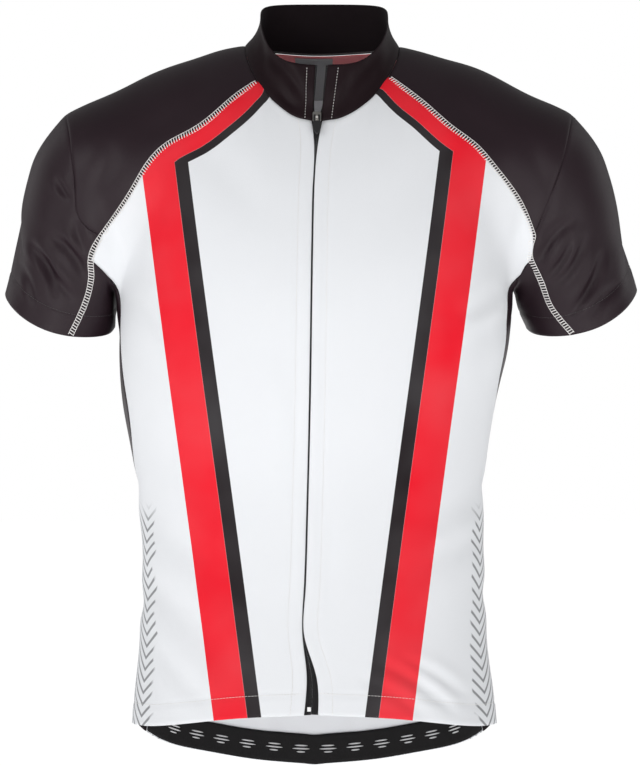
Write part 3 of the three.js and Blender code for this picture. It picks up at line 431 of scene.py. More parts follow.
@dataclass(frozen=True)
class Crease:
    """A soft fold, placed as it shows from one side of the garment, in millimetres.

    Attributes:
        facing: the side that it shows on.
        start: across (x, or y on a side) and up, where it starts.
        end: where it ends.
        depth: of its trough.
        width: half the width of its trough.
        bow: how far its middle bulges aside.
        lip: share of the depth that stands up beside it.
    """

    facing: Facing
    start: tuple[float, float]
    end: tuple[float, float]
    depth: float
    width: float
    bow: float = 0.0
    lip: float = 0.45

    LIP_PLACE = 1.9  # from the trough, in widths
    LIP_WIDTH = 1.2
    END_SHARE = 0.25  # of the depth, left at its ends
    SWELL_POWER = 0.8
    FACING_RANGE = (0.05, 0.5)  # how far cloth looks that way where it starts and where it is full

    def relief(self, points: np.ndarray, normals: np.ndarray) -> np.ndarray:
        """Move out of the cloth that the crease makes.

        Args:
            points: places on the cloth.
            normals: the ways out of it.

        Returns:
            The move at each place.
        """
        axis, sign = self.facing.value
        flank = 0 if axis == 1 else 1
        place = np.stack([points[..., flank], points[..., 2]], axis=-1) / MM
        start, end = np.array(self.start), np.array(self.end)
        way = end - start
        length = float(np.hypot(*way))
        along = (place - start) @ way / length ** 2
        aside = (place - start) @ np.array([-way[1], way[0]]) / length
        inside = np.clip(along, 0, 1)
        aside = aside - self.bow * np.sin(math.pi * inside)
        beyond = (along - inside) * length
        arch = np.sin(math.pi * inside) ** self.SWELL_POWER
        swell = self.END_SHARE + (1 - self.END_SHARE) * arch
        facing = smooth_step(*self.FACING_RANGE, normals[..., axis] * sign)
        fade = bell(beyond, 0, self.width) * facing
        trough = bell(aside, 0, self.width)
        lip = bell(np.abs(aside), self.LIP_PLACE * self.width, self.LIP_WIDTH * self.width)
        return (self.lip * lip - trough) * swell * fade * self.depth * MM


CREASES = (
    # Front of the body, from the sides and armpits inwards
    Crease(Facing.FRONT, (172, -232), (138, -264), 2.4, 8, 3),
    Crease(Facing.FRONT, (176, -262), (150, -300), 1.8, 9, -3),
    Crease(Facing.FRONT, (168, -398), (108, -468), 3.0, 16, 6),
    Crease(Facing.FRONT, (158, -470), (84, -514), 2.0, 12, -5),
    Crease(Facing.FRONT, (58, -588), (126, -634), 2.5, 5.5, 4),
    Crease(Facing.FRONT, (78, -584), (138, -622), 2.0, 5, 3),
    Crease(Facing.FRONT, (40, -602), (98, -638), 1.4, 5, 3),
    Crease(Facing.FRONT, (-170, -420), (-112, -500), 3.0, 15, -6),
    Crease(Facing.FRONT, (-164, -512), (-92, -588), 2.5, 13, 5),
    Crease(Facing.FRONT, (-152, -574), (-104, -628), 1.8, 8, -3),
    Crease(Facing.FRONT, (-176, -240), (-146, -286), 2.2, 9, 3),
    Crease(Facing.FRONT, (-204, -150), (-178, -214), 2.4, 9, -4),
    Crease(Facing.FRONT, (196, -150), (182, -205), 2.0, 8, 4),
    Crease(Facing.FRONT, (-118, -96), (-60, -170), 1.4, 18, 5),
    Crease(Facing.FRONT, (128, -98), (70, -176), 1.4, 18, -5),
    Crease(Facing.FRONT, (-26, -300), (-19, -420), 0.9, 9, 2),
    Crease(Facing.FRONT, (14, -430), (10, -540), 0.9, 9, -2),
    # Sleeves, front
    Crease(Facing.FRONT, (-275, -192), (-252, -240), 3.5, 4.0, 3),
    Crease(Facing.FRONT, (-262, -206), (-237, -242), 3.2, 4.0, -2),
    Crease(Facing.FRONT, (-252, -186), (-224, -220), 3.5, 4.5, 3),
    Crease(Facing.FRONT, (-249, -131), (-238, -150), 2.2, 3.6, -1),
    Crease(Facing.FRONT, (-231, -170), (-221, -204), 2.4, 4.5, -2),
    Crease(Facing.FRONT, (-286, -214), (-272, -250), 1.9, 3.6, 2),
    Crease(Facing.FRONT, (211, -208), (240, -172), 3.5, 4.0, 3),
    Crease(Facing.FRONT, (222, -222), (241, -192), 3.0, 3.6, -2),
    Crease(Facing.FRONT, (230, -230), (254, -188), 3.0, 4.0, -3),
    Crease(Facing.FRONT, (243, -258), (271, -204), 3.5, 4.0, -4),
    Crease(Facing.FRONT, (214, -190), (236, -168), 2.4, 4.0, 2),
    Crease(Facing.FRONT, (262, -262), (286, -232), 2.2, 4.5, 2),
    # Collar, front
    Crease(Facing.FRONT, (-47, -14), (-13, -60), 2.0, 4.5, 3),
    Crease(Facing.FRONT, (-37, -50), (-21, -67), 1.2, 4, -1),
    Crease(Facing.FRONT, (50, -22), (17, -74), 1.9, 4.5, -3),
    Crease(Facing.FRONT, (30, -31), (20, -62), 1.1, 3.5, 1),
    Crease(Facing.FRONT, (58, -26), (46, -52), 1.2, 5, 2),
    # Shoulders
    Crease(Facing.FRONT, (-104, -40), (-168, -92), 1.4, 12, 5),
    Crease(Facing.FRONT, (112, -42), (176, -96), 1.4, 12, -5),
    Crease(Facing.FRONT, (-196, -96), (-214, -146), 1.7, 9, 3),
    Crease(Facing.FRONT, (202, -92), (218, -140), 1.5, 9, -3),
    # Back of the body
    Crease(Facing.BACK, (-168, -250), (-92, -318), 3.6, 14, 7),
    Crease(Facing.BACK, (172, -244), (104, -306), 3.3, 13, -8),
    Crease(Facing.BACK, (-160, -318), (-70, -372), 2.7, 13, -6),
    Crease(Facing.BACK, (164, -322), (60, -384), 3.0, 14, 6),
    Crease(Facing.BACK, (-120, -418), (96, -430), 3.3, 14, 9),
    Crease(Facing.BACK, (-70, -392), (118, -388), 2.4, 12, -7),
    Crease(Facing.BACK, (-84, -108), (-24, -190), 2.0, 14, 6),
    Crease(Facing.BACK, (90, -112), (22, -196), 1.8, 14, -6),
    Crease(Facing.BACK, (-8, -70), (-4, -150), 1.2, 16, 3),
    Crease(Facing.BACK, (-150, -660), (-128, -600), 1.5, 9, 3),
    Crease(Facing.BACK, (146, -662), (130, -596), 1.5, 9, -3),
    Crease(Facing.BACK, (40, -690), (46, -640), 1.2, 8, 2),
    Crease(Facing.BACK, (-52, -690), (-60, -636), 1.2, 8, -2),
    # Sleeves, back
    Crease(Facing.BACK, (-216, -222), (-254, -180), 3.0, 6.5, 3),
    Crease(Facing.BACK, (-232, -246), (-272, -206), 2.4, 6, -3),
    Crease(Facing.BACK, (214, -218), (250, -184), 2.8, 6.5, -3),
    Crease(Facing.BACK, (230, -244), (270, -200), 2.4, 6, 3),
    Crease(Facing.BACK, (-120, -52), (-182, -112), 1.7, 13, -6),
    Crease(Facing.BACK, (124, -54), (186, -116), 1.7, 13, 6),
    # Sides
    Crease(Facing.LEFT, (-20, -420), (58, -470), 2.5, 12, 5),
    Crease(Facing.LEFT, (-30, -540), (52, -520), 2.1, 12, -5),
    Crease(Facing.LEFT, (-24, -230), (12, -160), 2.1, 9, 4),
    Crease(Facing.RIGHT, (-24, -410), (56, -464), 2.5, 12, -5),
    Crease(Facing.RIGHT, (-28, -528), (50, -548), 2.1, 12, 5),
    Crease(Facing.RIGHT, (-20, -236), (16, -168), 2.0, 9, -4),
)


def creased(grid: Grid) -> Grid:
    """The grid with every crease pressed into it."""
    points, normals = grid.points, grid.normals()
    return grid.moved(sum(crease.relief(points, normals) for crease in CREASES))


class Value:
    """A shader value that Python's operators work on."""

    def __init__(self, nodes: "Nodes", socket: bpy.types.NodeSocket) -> None:
        """Wraps a socket of one material's nodes."""
        self.nodes = nodes
        self.socket = socket

    def _math(self, operation: str, *values: Any) -> "Value":
        """Adds one Math node.

        Args:
            operation: its name in Blender.
            values: its inputs, in order.

        Returns:
            Its result.
        """
        return self.nodes.node("ShaderNodeMath", {"operation": operation}, dict(enumerate(values)))

    def __add__(self, other: Any) -> "Value":
        """Sum."""
        return self._math("ADD", self, other)

    __radd__ = __add__

    def __sub__(self, other: Any) -> "Value":
        """Difference."""
        return self._math("SUBTRACT", self, other)

    def __rsub__(self, other: Any) -> "Value":
        """Difference, the other way round."""
        return self._math("SUBTRACT", other, self)

    def __mul__(self, other: Any) -> "Value":
        """Product."""
        return self._math("MULTIPLY", self, other)

    __rmul__ = __mul__

    def __truediv__(self, other: Any) -> "Value":
        """Quotient."""
        return self._math("DIVIDE", self, other)

    def __abs__(self) -> "Value":
        """Size without sign."""
        return self._math("ABSOLUTE", self)

    def sine(self) -> "Value":
        """Sine of an angle in radians."""
        return self._math("SINE", self)

    def fraction(self) -> "Value":
        """What is over a whole number."""
        return self._math("FRACT", self)

    def most(self, other: Any) -> "Value":
        """The greater of two values."""
        return self._math("MAXIMUM", self, other)

    def over(self, edge: float, softness: float = 0.2 * MM) -> "Value":
        """1 where the value is over an edge and 0 below it.

        Args:
            edge: the value of the edge.
            softness: how far to each side it blends.

        Returns:
            The mask.
        """
        return self.nodes.node(
            "ShaderNodeMapRange",
            {"interpolation_type": "SMOOTHSTEP"},
            {"Value": self, "From Min": edge - softness, "From Max": edge + softness},
        )

    def under(self, edge: float, softness: float = 0.2 * MM) -> "Value":
        """1 where the value is under an edge and 0 above it."""
        return 1 - self.over(edge, softness)

    def within(self, low: float, high: float, softness: float = 0.2 * MM) -> "Value":
        """1 between two edges and 0 outside them."""
        return self.over(low, softness) * self.under(high, softness)


class Nodes:
    """The node tree of a material or of the world."""

    def __init__(self, owner: bpy.types.Material | bpy.types.World) -> None:
        """Empties the owner's tree."""
        owner.use_nodes = True
        self.owner = owner
        self.tree = owner.node_tree
        self.tree.nodes.clear()

    @classmethod
    def named(cls, name: str) -> "Nodes":
        """The empty tree of a new material."""
        return cls(bpy.data.materials.new(name))

    def node(
        self, kind: str, settings: dict[str, Any], inputs: dict[Any, Any], output: int | str = 0,
    ) -> Value | None:
        """Adds a node of any type.

        Args:
            kind: its type in Blender.
            settings: its own properties, set first.
            inputs: a number, colour or Value for each socket, by name or place.
            output: the socket to give back, by name or place.

        Returns:
            The chosen output, or None from a node that has none.
        """
        made = self.tree.nodes.new(kind)
        for key, value in settings.items():
            setattr(made, key, value)
        for key, value in inputs.items():
            socket = made.inputs[key]
            if isinstance(value, Value):
                self.tree.links.new(value.socket, socket)
            else:
                socket.default_value = value
        return Value(self, made.outputs[output]) if len(made.outputs) else None

    def mix(self, share: Any, first: Any, second: Any) -> Value:
        """Colour between two colours.

        Args:
            share: 0 for the first, 1 for the second.
            first: a colour or Value.
            second: a colour or Value.

        Returns:
            The mixed colour.
        """
        settings = {"data_type": "RGBA"}
        ends = {
            index: (*tone, 1.0) if isinstance(tone, tuple) else tone
            for index, tone in ((6, first), (7, second))
        }
        return self.node("ShaderNodeMix", settings, {0: share, **ends}, 2)

    def _split(self, vector: Value) -> tuple[Value, Value, Value]:
        """The three parts of a vector."""
        return tuple(self.node("ShaderNodeSeparateXYZ", {}, {0: vector}, axis) for axis in range(3))

    def place(self) -> tuple[Value, Value, Value]:
        """x, y and z in the garment's own frame."""
        return self._split(self.node("ShaderNodeTexCoord", {}, {}, "Object"))

    def flat(self) -> tuple[Value, Value, Value]:
        """Places on the cloth, as Shell.flat_places wrote them."""
        return self._split(self.node("ShaderNodeAttribute", {"attribute_name": FLAT}, {}, "Vector"))

    def noise(self, scale: float, detail: float = 2.0, roughness: float = 0.5) -> Value:
        """Smooth noise over the garment.

        Args:
            scale: how many blots a metre.
            detail: finer layers.
            roughness: how strong those are.

        Returns:
            Noise from 0 to 1.
        """
        where = self.node("ShaderNodeTexCoord", {}, {}, "Object")
        inputs = {"Vector": where, "Scale": scale, "Detail": detail, "Roughness": roughness}
        return self.node("ShaderNodeTexNoise", {"normalize": True}, inputs, 0)

    def bump(self, height: Value, distance: float, strength: float = 1.0) -> Value:
        """Normal of a surface with a height.

        Args:
            height: the height, about 0 to 1.
            distance: how deep that is.
            strength: how much of it shows.

        Returns:
            The normal.
        """
        inputs = {"Height": height, "Distance": distance, "Strength": strength}
        return self.node("ShaderNodeBump", {}, inputs)

    def finish(self, inputs: dict[str, Any]) -> bpy.types.Material:
        """Ends the tree in a principled surface.

        Args:
            inputs: its sockets.

        Returns:
            The material.
        """
        surface = self.node("ShaderNodeBsdfPrincipled", {}, inputs)
        self.node("ShaderNodeOutputMaterial", {}, {"Surface": surface})
        return self.owner


NO_LIGHT = (0.0, 0.0, 0.0)
WHITE = (0.80, 0.815, 0.84)
BLACK = (0.0200, 0.0108, 0.0150)
# Painted shade: the black knit made darker for the collar.
SHADED_COLLAR_BLACK = (0.0125, 0.0060, 0.0078)
INK_BLACK = (0.0110, 0.0060, 0.0078)
# Painted shade: the black knit made darker for the inner faces.
SHADED_INSIDE_BLACK = (0.0075, 0.0040, 0.0052)
RED = (0.84, 0.005, 0.020)
GREY = (0.27, 0.275, 0.285)


@dataclass(frozen=True)
class Stripes:
    """The plain stripes printed on the white pieces, in metres."""

    middle: float = -5 * MM  # x between the two bands
    high: float = 150 * MM  # distance of a band from the middle at the top
    low: float = 76 * MM  # and at the bottom
    top_z: float = -95 * MM
    bottom_z: float = -650 * MM
    half: float = 16 * MM  # half the width of a red band
    black: float = 13 * MM
    trim: float = 19 * MM
    trim_black: float = 8 * MM
    dash_pitch: float = 11 * MM
    dash_fold: float = 80 * MM
    dash_turn: float = 35 * MM  # distance of a turn from the side seam
    dash_rise: float = 2.6  # rise over half a fold, in pitches
    dash_span: tuple[float, float] = (0.34, 0.64)  # of a pitch
    dash_blur: float = 0.07  # of a pitch
    dash_start: float = -450 * MM
    dash_fade: float = 12 * MM
    dash_reach: float = 77 * MM
    dash_reach_back: float = 14 * MM
    dash_ragged: float = 28 * MM
    ragged_scale: float = 45.0
    ragged_blur: float = 2 * MM

    def colour(self, nodes: Nodes, ground: Any, banded: bool) -> Value:
        """Prints the stripes over a ground colour.

        Args:
            nodes: the material's nodes.
            ground: colour of the bare cloth.
            banded: whether the long bands are there, or the seam trim alone.

        Returns:
            The printed colour.
        """
        x, _, z = nodes.place()
        inset, _, seam = nodes.flat()
        red = seam.under(self.trim)
        black = seam.within(self.trim, self.trim + self.trim_black)
        if banded:
            slope = (self.high - self.low) / (self.top_z - self.bottom_z)
            out = abs(x - self.middle)
            away = (out - self.low - (z - self.bottom_z) * slope) * (1 / math.hypot(1, slope))
            inner = away.under(self.half)
            red = (red * inner).most(away.within(-self.half, self.half))
            beside = away.within(-self.half - self.black, -self.half) * seam.over(self.trim)
            black = (black * inner).most(beside) * (1 - red)
        turned = inset + (self.dash_fold - self.dash_turn)
        zigzag = abs((turned / self.dash_fold).fraction() - 0.5) * 2
        rung = ((z / self.dash_pitch) - zigzag * self.dash_rise).fraction()
        tooth = rung.within(*self.dash_span, self.dash_blur)
        reach = self.dash_reach if banded else self.dash_reach_back
        ragged = nodes.noise(self.ragged_scale, 1) * self.dash_ragged + reach
        side = (inset - ragged).under(0, self.ragged_blur)
        side = side * z.under(self.dash_start, self.dash_fade)
        dashes = tooth * side * (1 - red) * (1 - black)
        colour = nodes.mix(dashes, ground, GREY)
        colour = nodes.mix(black, colour, INK_BLACK)
        return nodes.mix(red, colour, RED)


@dataclass(frozen=True)
class Knit:
    """A fine polyester knit.

    Attributes:
        name: of the material.
        colour: of the bare cloth.
        design: what is printed on it.
        wale: width of a column of stitches.
        course: height of a row of stitches.
        relief: depth of the stitches.
        roughness: of the yarn.
        sheen: soft edge light of the fibres.
        shine: how much the yarn mirrors.
        reverse: share of the print that is lost on the inside.
        slub: blots a metre of the uneven yarn.
        cloud: blots a metre of the uneven dye.
        loop_shade: how much painted shade darkens the stitch pattern.
        cloud_shade: how much the dye varies.
        cloud_least: and the least of it.
        cloud_tint: how dark its dark parts are.
    """

    name: str
    colour: Colour
    design: Print = Print.PLAIN
    wale: float = 1.0 * MM
    course: float = 0.8 * MM
    relief: float = 0.05 * MM
    roughness: float = 0.72
    sheen: float = 0.03
    shine: float = 0.15
    reverse: float = 0.0
    slub: float = 900.0
    cloud: float = 14.0
    loop_shade: float = 0.04
    cloud_shade: float = 0.12
    cloud_least: float = 0.03
    cloud_tint: float = 0.75

    def material(self) -> bpy.types.Material:
        """Makes the knit's material."""
        nodes = Nodes.named(self.name)
        across, along, _ = nodes.flat()
        loops = (across * (TURN / self.wale)).sine() * (along * (TURN / self.course)).sine()
        slub = nodes.noise(self.slub)
        cloudy = nodes.noise(self.cloud)
        colour = self.colour
        if self.design is not Print.PLAIN:
            colour = Stripes().colour(nodes, colour, self.design is Print.BANDS)
        if self.reverse:
            colour = nodes.mix(self.reverse, colour, self.colour)
        # Painted shade: the stitch pattern darkened towards black.
        shade = nodes.mix(loops * self.loop_shade + self.loop_shade, colour, NO_LIGHT)
        dye = (cloudy - 0.5) * self.cloud_shade + self.cloud_least
        shade = nodes.mix(dye, shade, scaled(self.colour, self.cloud_tint))
        height = loops * 0.5 + slub * 0.35
        return nodes.finish({
            "Base Color": shade,
            "Roughness": cloudy * 0.1 + (self.roughness - 0.05),
            "Sheen Weight": self.sheen,
            "Sheen Roughness": 0.45,
            "Specular IOR Level": self.shine,
            "Normal": nodes.bump(height, self.relief, 0.8),
        })


@dataclass(frozen=True)
class Yarn:
    """Sewing thread, twisted."""

    name: str
    colour: Colour
    twist: float = 2200.0  # blots a metre
    fuzz_depth: float = 0.05 * MM

    def material(self) -> bpy.types.Material:
        """Makes the thread's material."""
        nodes = Nodes.named(self.name)
        fuzz = nodes.noise(self.twist, 3)
        return nodes.finish({
            "Base Color": nodes.mix(fuzz * 0.35, self.colour, scaled(self.colour, 0.5)),
            "Roughness": fuzz * 0.2 + 0.45,
            "Sheen Weight": 0.2,
            "Normal": nodes.bump(fuzz, self.fuzz_depth),
        })


@dataclass(frozen=True)
class Woven:
    """Narrow woven tape, elastic or ribbon."""

    name: str
    colour: Colour
    rib: float = 1.1 * MM  # width of a rib and height of a pick
    relief: float = 0.12 * MM
    roughness: float = 0.75
    fuzz: float = 1400.0  # blots a metre

    def material(self) -> bpy.types.Material:
        """Makes the tape's material."""
        nodes = Nodes.named(self.name)
        across, along, _ = nodes.flat()
        ribs = (across * (TURN / self.rib)).sine()
        picks = (along * (TURN / self.rib)).sine()
        weave = ribs * 0.5 + ribs * picks * 0.5
        fuzz = nodes.noise(self.fuzz)
        # Painted highlight on the weave's raised ribs, and lighter fuzz at random.
        lighter_tone = scaled(self.colour, 1.7, 0.004)
        return nodes.finish({
            "Base Color": nodes.mix(weave * 0.18 + fuzz * 0.2, self.colour, lighter_tone),
            "Roughness": fuzz * 0.15 + (self.roughness - 0.08),
            "Specular IOR Level": 0.2,
            "Normal": nodes.bump(weave * 0.5 + fuzz * 0.3, self.relief, 0.8),
        })


@dataclass(frozen=True)
class Moulded:
    """Moulded rubber, nylon or silicone."""

    name: str
    colour: Colour
    roughness: float = 0.45
    grain: float = 0.03 * MM
    grain_scale: float = 3000.0
    wear_scale: float = 240.0

    def material(self) -> bpy.types.Material:
        """Makes the moulding's material."""
        nodes = Nodes.named(self.name)
        grain = nodes.noise(self.grain_scale, 3)
        wear = nodes.noise(self.wear_scale, 3)
        # Lighter in random worn patches.
        lighter_tone = scaled(self.colour, 1.6, 0.006)
        return nodes.finish({
            "Base Color": nodes.mix(wear * 0.3, self.colour, lighter_tone),
            "Roughness": wear * 0.2 + (self.roughness - 0.1),
            "Normal": nodes.bump(grain, self.grain, 0.6),
        })


@dataclass(frozen=True)
class Plated:
    """Plated zinc, a little worn."""

    name: str
    colour: Colour
    roughness: float = 0.3
    wear_scale: float = 420.0
    wear_depth: float = 0.04 * MM

    def material(self) -> bpy.types.Material:
        """Makes the metal's material."""
        nodes = Nodes.named(self.name)
        wear = nodes.noise(self.wear_scale, 4, 0.6)
        return nodes.finish({
            "Base Color": nodes.mix(wear * 0.5, self.colour, scaled(self.colour, 0.6)),
            "Metallic": 1.0,
            "Roughness": wear * 0.3 + (self.roughness - 0.1),
            "Normal": nodes.bump(wear, self.wear_depth, 0.5),
        })


@dataclass(frozen=True)
class Wardrobe:
    """Every finish of the garment."""

    white: bpy.types.Material
    white_inside: bpy.types.Material
    back: bpy.types.Material
    back_inside: bpy.types.Material
    black: bpy.types.Material
    collar: bpy.types.Material
    black_inside: bpy.types.Material
    tape: bpy.types.Material
    elastic: bpy.types.Material
    ribbon: bpy.types.Material
    thread_white: bpy.types.Material
    thread_black: bpy.types.Material
    teeth: bpy.types.Material
    silicone: bpy.types.Material
    metal: bpy.types.Material
    rubber: bpy.types.Material
    stop: bpy.types.Material

    @classmethod
    def stocked(cls) -> "Wardrobe":
        """Makes every finish once."""
        inside = {"roughness": 0.85}
        shining = {"sheen": 0.0, "shine": 0.22, "roughness": 0.42}
        finishes = {
            "white": Knit("knit_white", WHITE, Print.BANDS),
            "white_inside": Knit("knit_white_inside", WHITE, Print.BANDS, reverse=0.62, **inside),
            "back": Knit("knit_back", WHITE, Print.TRIM),
            "back_inside": Knit("knit_back_inside", WHITE, Print.TRIM, reverse=0.3, **inside),
            "black": Knit("knit_black", BLACK, wale=1.3 * MM, course=1.0 * MM, **shining),
            # The collar: the black knit painted darker, as shade.
            "collar": Knit("knit_collar_shaded", SHADED_COLLAR_BLACK, sheen=0.0, shine=0.12, roughness=0.45),
            # Inner faces of the black pieces: the black knit painted darker, as shade.
            "black_inside": Knit("knit_black_inside_shaded", SHADED_INSIDE_BLACK, relief=0.08 * MM, **inside),
            "tape": Woven("tape_black", (0.012, 0.011, 0.012)),
            "elastic": Woven("elastic_black", (0.0060, 0.0055, 0.0060), 1.6 * MM, 0.2 * MM),
            "ribbon": Woven("ribbon_grey", (0.30, 0.30, 0.31), 0.5 * MM, 0.04 * MM, 0.5),
            "thread_white": Yarn("thread_white", (0.88, 0.86, 0.84)),
            "thread_black": Yarn("thread_black", (0.035, 0.028, 0.030)),
            "teeth": Moulded("teeth_black", (0.012, 0.012, 0.013), 0.35),
            "silicone": Moulded("silicone_grey", (0.50, 0.50, 0.51), 0.35),
            "metal": Plated("metal", (0.42, 0.41, 0.39)),
            "rubber": Moulded("tab_rubber", (0.010, 0.010, 0.011), 0.5),
            "stop": Moulded("stop_white", (0.72, 0.72, 0.72), 0.35),
        }
        return cls(**{use: finish.material() for use, finish in finishes.items()})


def add_piece(
    name: str,
    places: np.ndarray,
    faces: Iterable[Sequence[int]],
    materials: Sequence[bpy.types.Material],
) -> bpy.types.Object:
    """Makes one smooth piece that rides on the garment.

    Args:
        name: of the piece.
        places: its points.
        faces: its faces.
        materials: its finishes.

    Returns:
        The new object.
    """
    mesh = bpy.data.meshes.new(name)
    mesh.from_pydata(places.tolist(), [], [list(face) for face in faces])
    mesh.update()
    mesh.shade_smooth()
    for material in materials:
        mesh.materials.append(material)
    piece = bpy.data.objects.new(name, mesh)
    bpy.context.scene.collection.objects.link(piece)
    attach(piece, GARMENT)
    LOG.info("%s: %d faces", name, len(mesh.polygons))
    return piece


@dataclass
class Shell:
    """A thin closed wall of cloth on a grid, with rounded edges.

    Attributes:
        name: of the piece.
        grid: its outer face.
        thickness: of the cloth.
        outside: finish of the outer face.
        inside: finish of the inner face.
        slot: the record's material slot; not used.
        seam: distance of each point from the trimmed seam, on a printed panel.
        side: its distance from the side seam.
    """

    name: str
    grid: Grid
    thickness: float
    outside: bpy.types.Material
    inside: bpy.types.Material
    slot: str
    seam: np.ndarray | None = None
    side: np.ndarray | None = None

    ROUND = 0.45  # how far an edge swells, in thicknesses

    def flat_places(self) -> np.ndarray:
        """Across, along and distance from the top seam at each point."""
        across = self.grid.distance(Edge.FIRST_COLUMN) if self.side is None else self.side
        along = self.grid.distance(Edge.FIRST_ROW)
        seam = np.ones_like(across) if self.seam is None else self.seam
        return np.stack([across, along, seam], axis=-1)

    def build(self) -> bpy.types.Object:
        """Makes the wall.

        Returns:
            The new object.
        """
        outer = self.grid.points
        normals = self.grid.normals()
        rows, columns = outer.shape[:2]
        inner = outer - normals * self.thickness
        number = np.arange(rows * columns).reshape(rows, columns)
        sides = (number[0, :-1], number[:-1, -1], number[-1, :0:-1], number[:0:-1, 0])
        ring = np.concatenate(sides)
        inward = self._inward()
        middle = (outer + inner).reshape(-1, 3)[ring] / 2
        middle = middle - inward[ring] * self.thickness * self.ROUND
        layer = rows * columns
        corners = (number[:-1, :-1], number[:-1, 1:], number[1:, 1:], number[1:, :-1])
        quads = np.stack(corners, axis=-1).reshape(-1, 4)
        flipped = quads[:, ::-1]
        out, into = (quads, flipped + layer) if self.grid.sign > 0 else (flipped, quads + layer)
        mid = np.arange(len(ring)) + 2 * layer
        after, mid_after = np.roll(ring, -1), np.roll(mid, -1)
        rims = np.concatenate([
            np.stack([ring, mid, mid_after, after], axis=1),
            np.stack([mid, ring + layer, after + layer, mid_after], axis=1),
        ])
        if self.grid.sign < 0:
            rims = rims[:, ::-1]
        places = np.concatenate([outer.reshape(-1, 3), inner.reshape(-1, 3), middle])
        faces = np.concatenate([out, into, rims])
        piece = add_piece(self.name, places, faces, [self.outside, self.inside])
        kinds = np.zeros(len(faces), dtype=np.int32)
        kinds[len(out):len(out) + len(into)] = 1
        piece.data.polygons.foreach_set("material_index", kinds)
        flat = self.flat_places().reshape(-1, 3)
        values = np.concatenate([flat, flat, flat[ring]]).astype(np.float32)
        attribute = piece.data.attributes.new(FLAT, "FLOAT_VECTOR", "POINT")
        attribute.data.foreach_set("vector", values.ravel())
        return piece

    def _inward(self) -> np.ndarray:
        """The way in from the edge at each point of the rim."""
        points = self.grid.points
        way = np.zeros_like(points)
        way[0] += unit(points[1] - points[0])
        way[-1] += unit(points[-2] - points[-1])
        way[:, 0] += unit(points[:, 1] - points[:, 0])
        way[:, -1] += unit(points[:, -2] - points[:, -1])
        return unit(way).reshape(-1, 3)

    def dress(self, node: str) -> None:
        """Args:
            node: the frame's node that it stands for.
        """
        piece = self.build()
        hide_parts(node)
        self.declare()

    def declare(
        self, with_pieces: Sequence[bpy.types.Object] = (),
    ) -> None:
        """Args:
            with_pieces: what is sewn on it; not used.
        """
        wide, long, area = self.grid.flat()
        sizes = (wide / MM, long / MM, area)
        LOG.info("%s: %.0f by %.0f mm flat, %.4f square metres", self.name, *sizes)


@dataclass
class Strands:
    """Many small round strands, joined in one mesh."""

    name: str
    material: bpy.types.Material
    slot: str
    places: list[np.ndarray] = field(default_factory=list)
    faces: list[np.ndarray] = field(default_factory=list)
    caps: list[np.ndarray] = field(default_factory=list)
    count: int = 0

    def add(
        self, paths: np.ndarray, normals: np.ndarray, radius: np.ndarray | float, sides: int = 5,
    ) -> None:
        """Adds strands along paths of the same number of points.

        Args:
            paths: strands, points and x, y, z.
            normals: the way out of the cloth at each point.
            radius: one radius, or one for each point of a path.
            sides: of a strand.
        """
        amount, steps = paths.shape[:2]
        way = unit(np.gradient(paths, axis=1))
        side = unit(np.cross(way, normals))
        out = np.cross(side, way)
        turns = np.linspace(0, TURN, sides, endpoint=False)[None, None, :, None]
        reach = np.broadcast_to(np.asarray(radius), (steps,))[None, :, None, None]
        ring = np.cos(turns) * out[:, :, None] + np.sin(turns) * side[:, :, None]
        self.places.append((paths[:, :, None] + ring * reach).reshape(-1, 3))
        number = self.count + np.arange(amount * steps * sides).reshape(amount, steps, sides)
        after = np.roll(number, -1, axis=2)
        quads = np.stack([number[:, :-1], after[:, :-1], after[:, 1:], number[:, 1:]], axis=-1)
        self.faces.append(quads.reshape(-1, 4))
        self.caps.append(np.concatenate([number[:, 0, ::-1], number[:, -1]]))
        self.count += amount * steps * sides

    def build(self) -> bpy.types.Object:
        """Makes the mesh of every strand."""
        faces = [face for group in (*self.faces, *self.caps) for face in group.tolist()]
        return add_piece(self.name, np.concatenate(self.places), faces, [self.material])


@dataclass
class Flatlock:
    """A flat seam: two rails of thread with slanting rungs between them."""

    half: float = 2.6 * MM  # half its width
    pitch: float = 2.7 * MM  # from rung to rung
    slant: float = 0.5 * MM  # how far a rung's ends lie along the seam
    radius: float = 0.5 * MM  # of a rung
    rail: float = 0.3 * MM  # radius of a rail
    stand: float = 0.25 * MM  # of the thread's middle off the cloth
    swell: float = 0.35 * MM  # how much more a rung's middle stands
    beat: float = 0.12 * MM  # rise of every other step of a rail
    rung_points: int = 6

    def sew(self, name: str, line: Line, thread: bpy.types.Material) -> None:
        """Sews along a line.

        Args:
            name: of the piece.
            line: the seam.
            thread: its finish.
        """
        strands = Strands(name, thread, "thread_white")
        steps = line.spaced(self.pitch, self.pitch)
        aside, way = steps.across(), unit(np.gradient(steps.points, axis=0))
        t = np.linspace(-1, 1, self.rung_points)[None, :, None]
        normals = np.repeat(steps.normals[:, None], self.rung_points, axis=1)
        lift = self.stand + self.swell * (1 - t ** 2)
        paths = steps.points[:, None] + aside[:, None] * t * self.half
        paths = paths + way[:, None] * t * self.slant + normals * lift
        strands.add(paths, normals, self.radius)
        fine = line.spaced(self.pitch / 2, self.pitch / 2)
        for side in (-1, 1):
            rail = fine.moved(self.stand, side * self.half)
            beat = (np.arange(len(rail.points)) % 2)[:, None] * self.beat
            strands.add((rail.points + rail.normals * beat)[None], rail.normals[None], self.rail)
        strands.build()


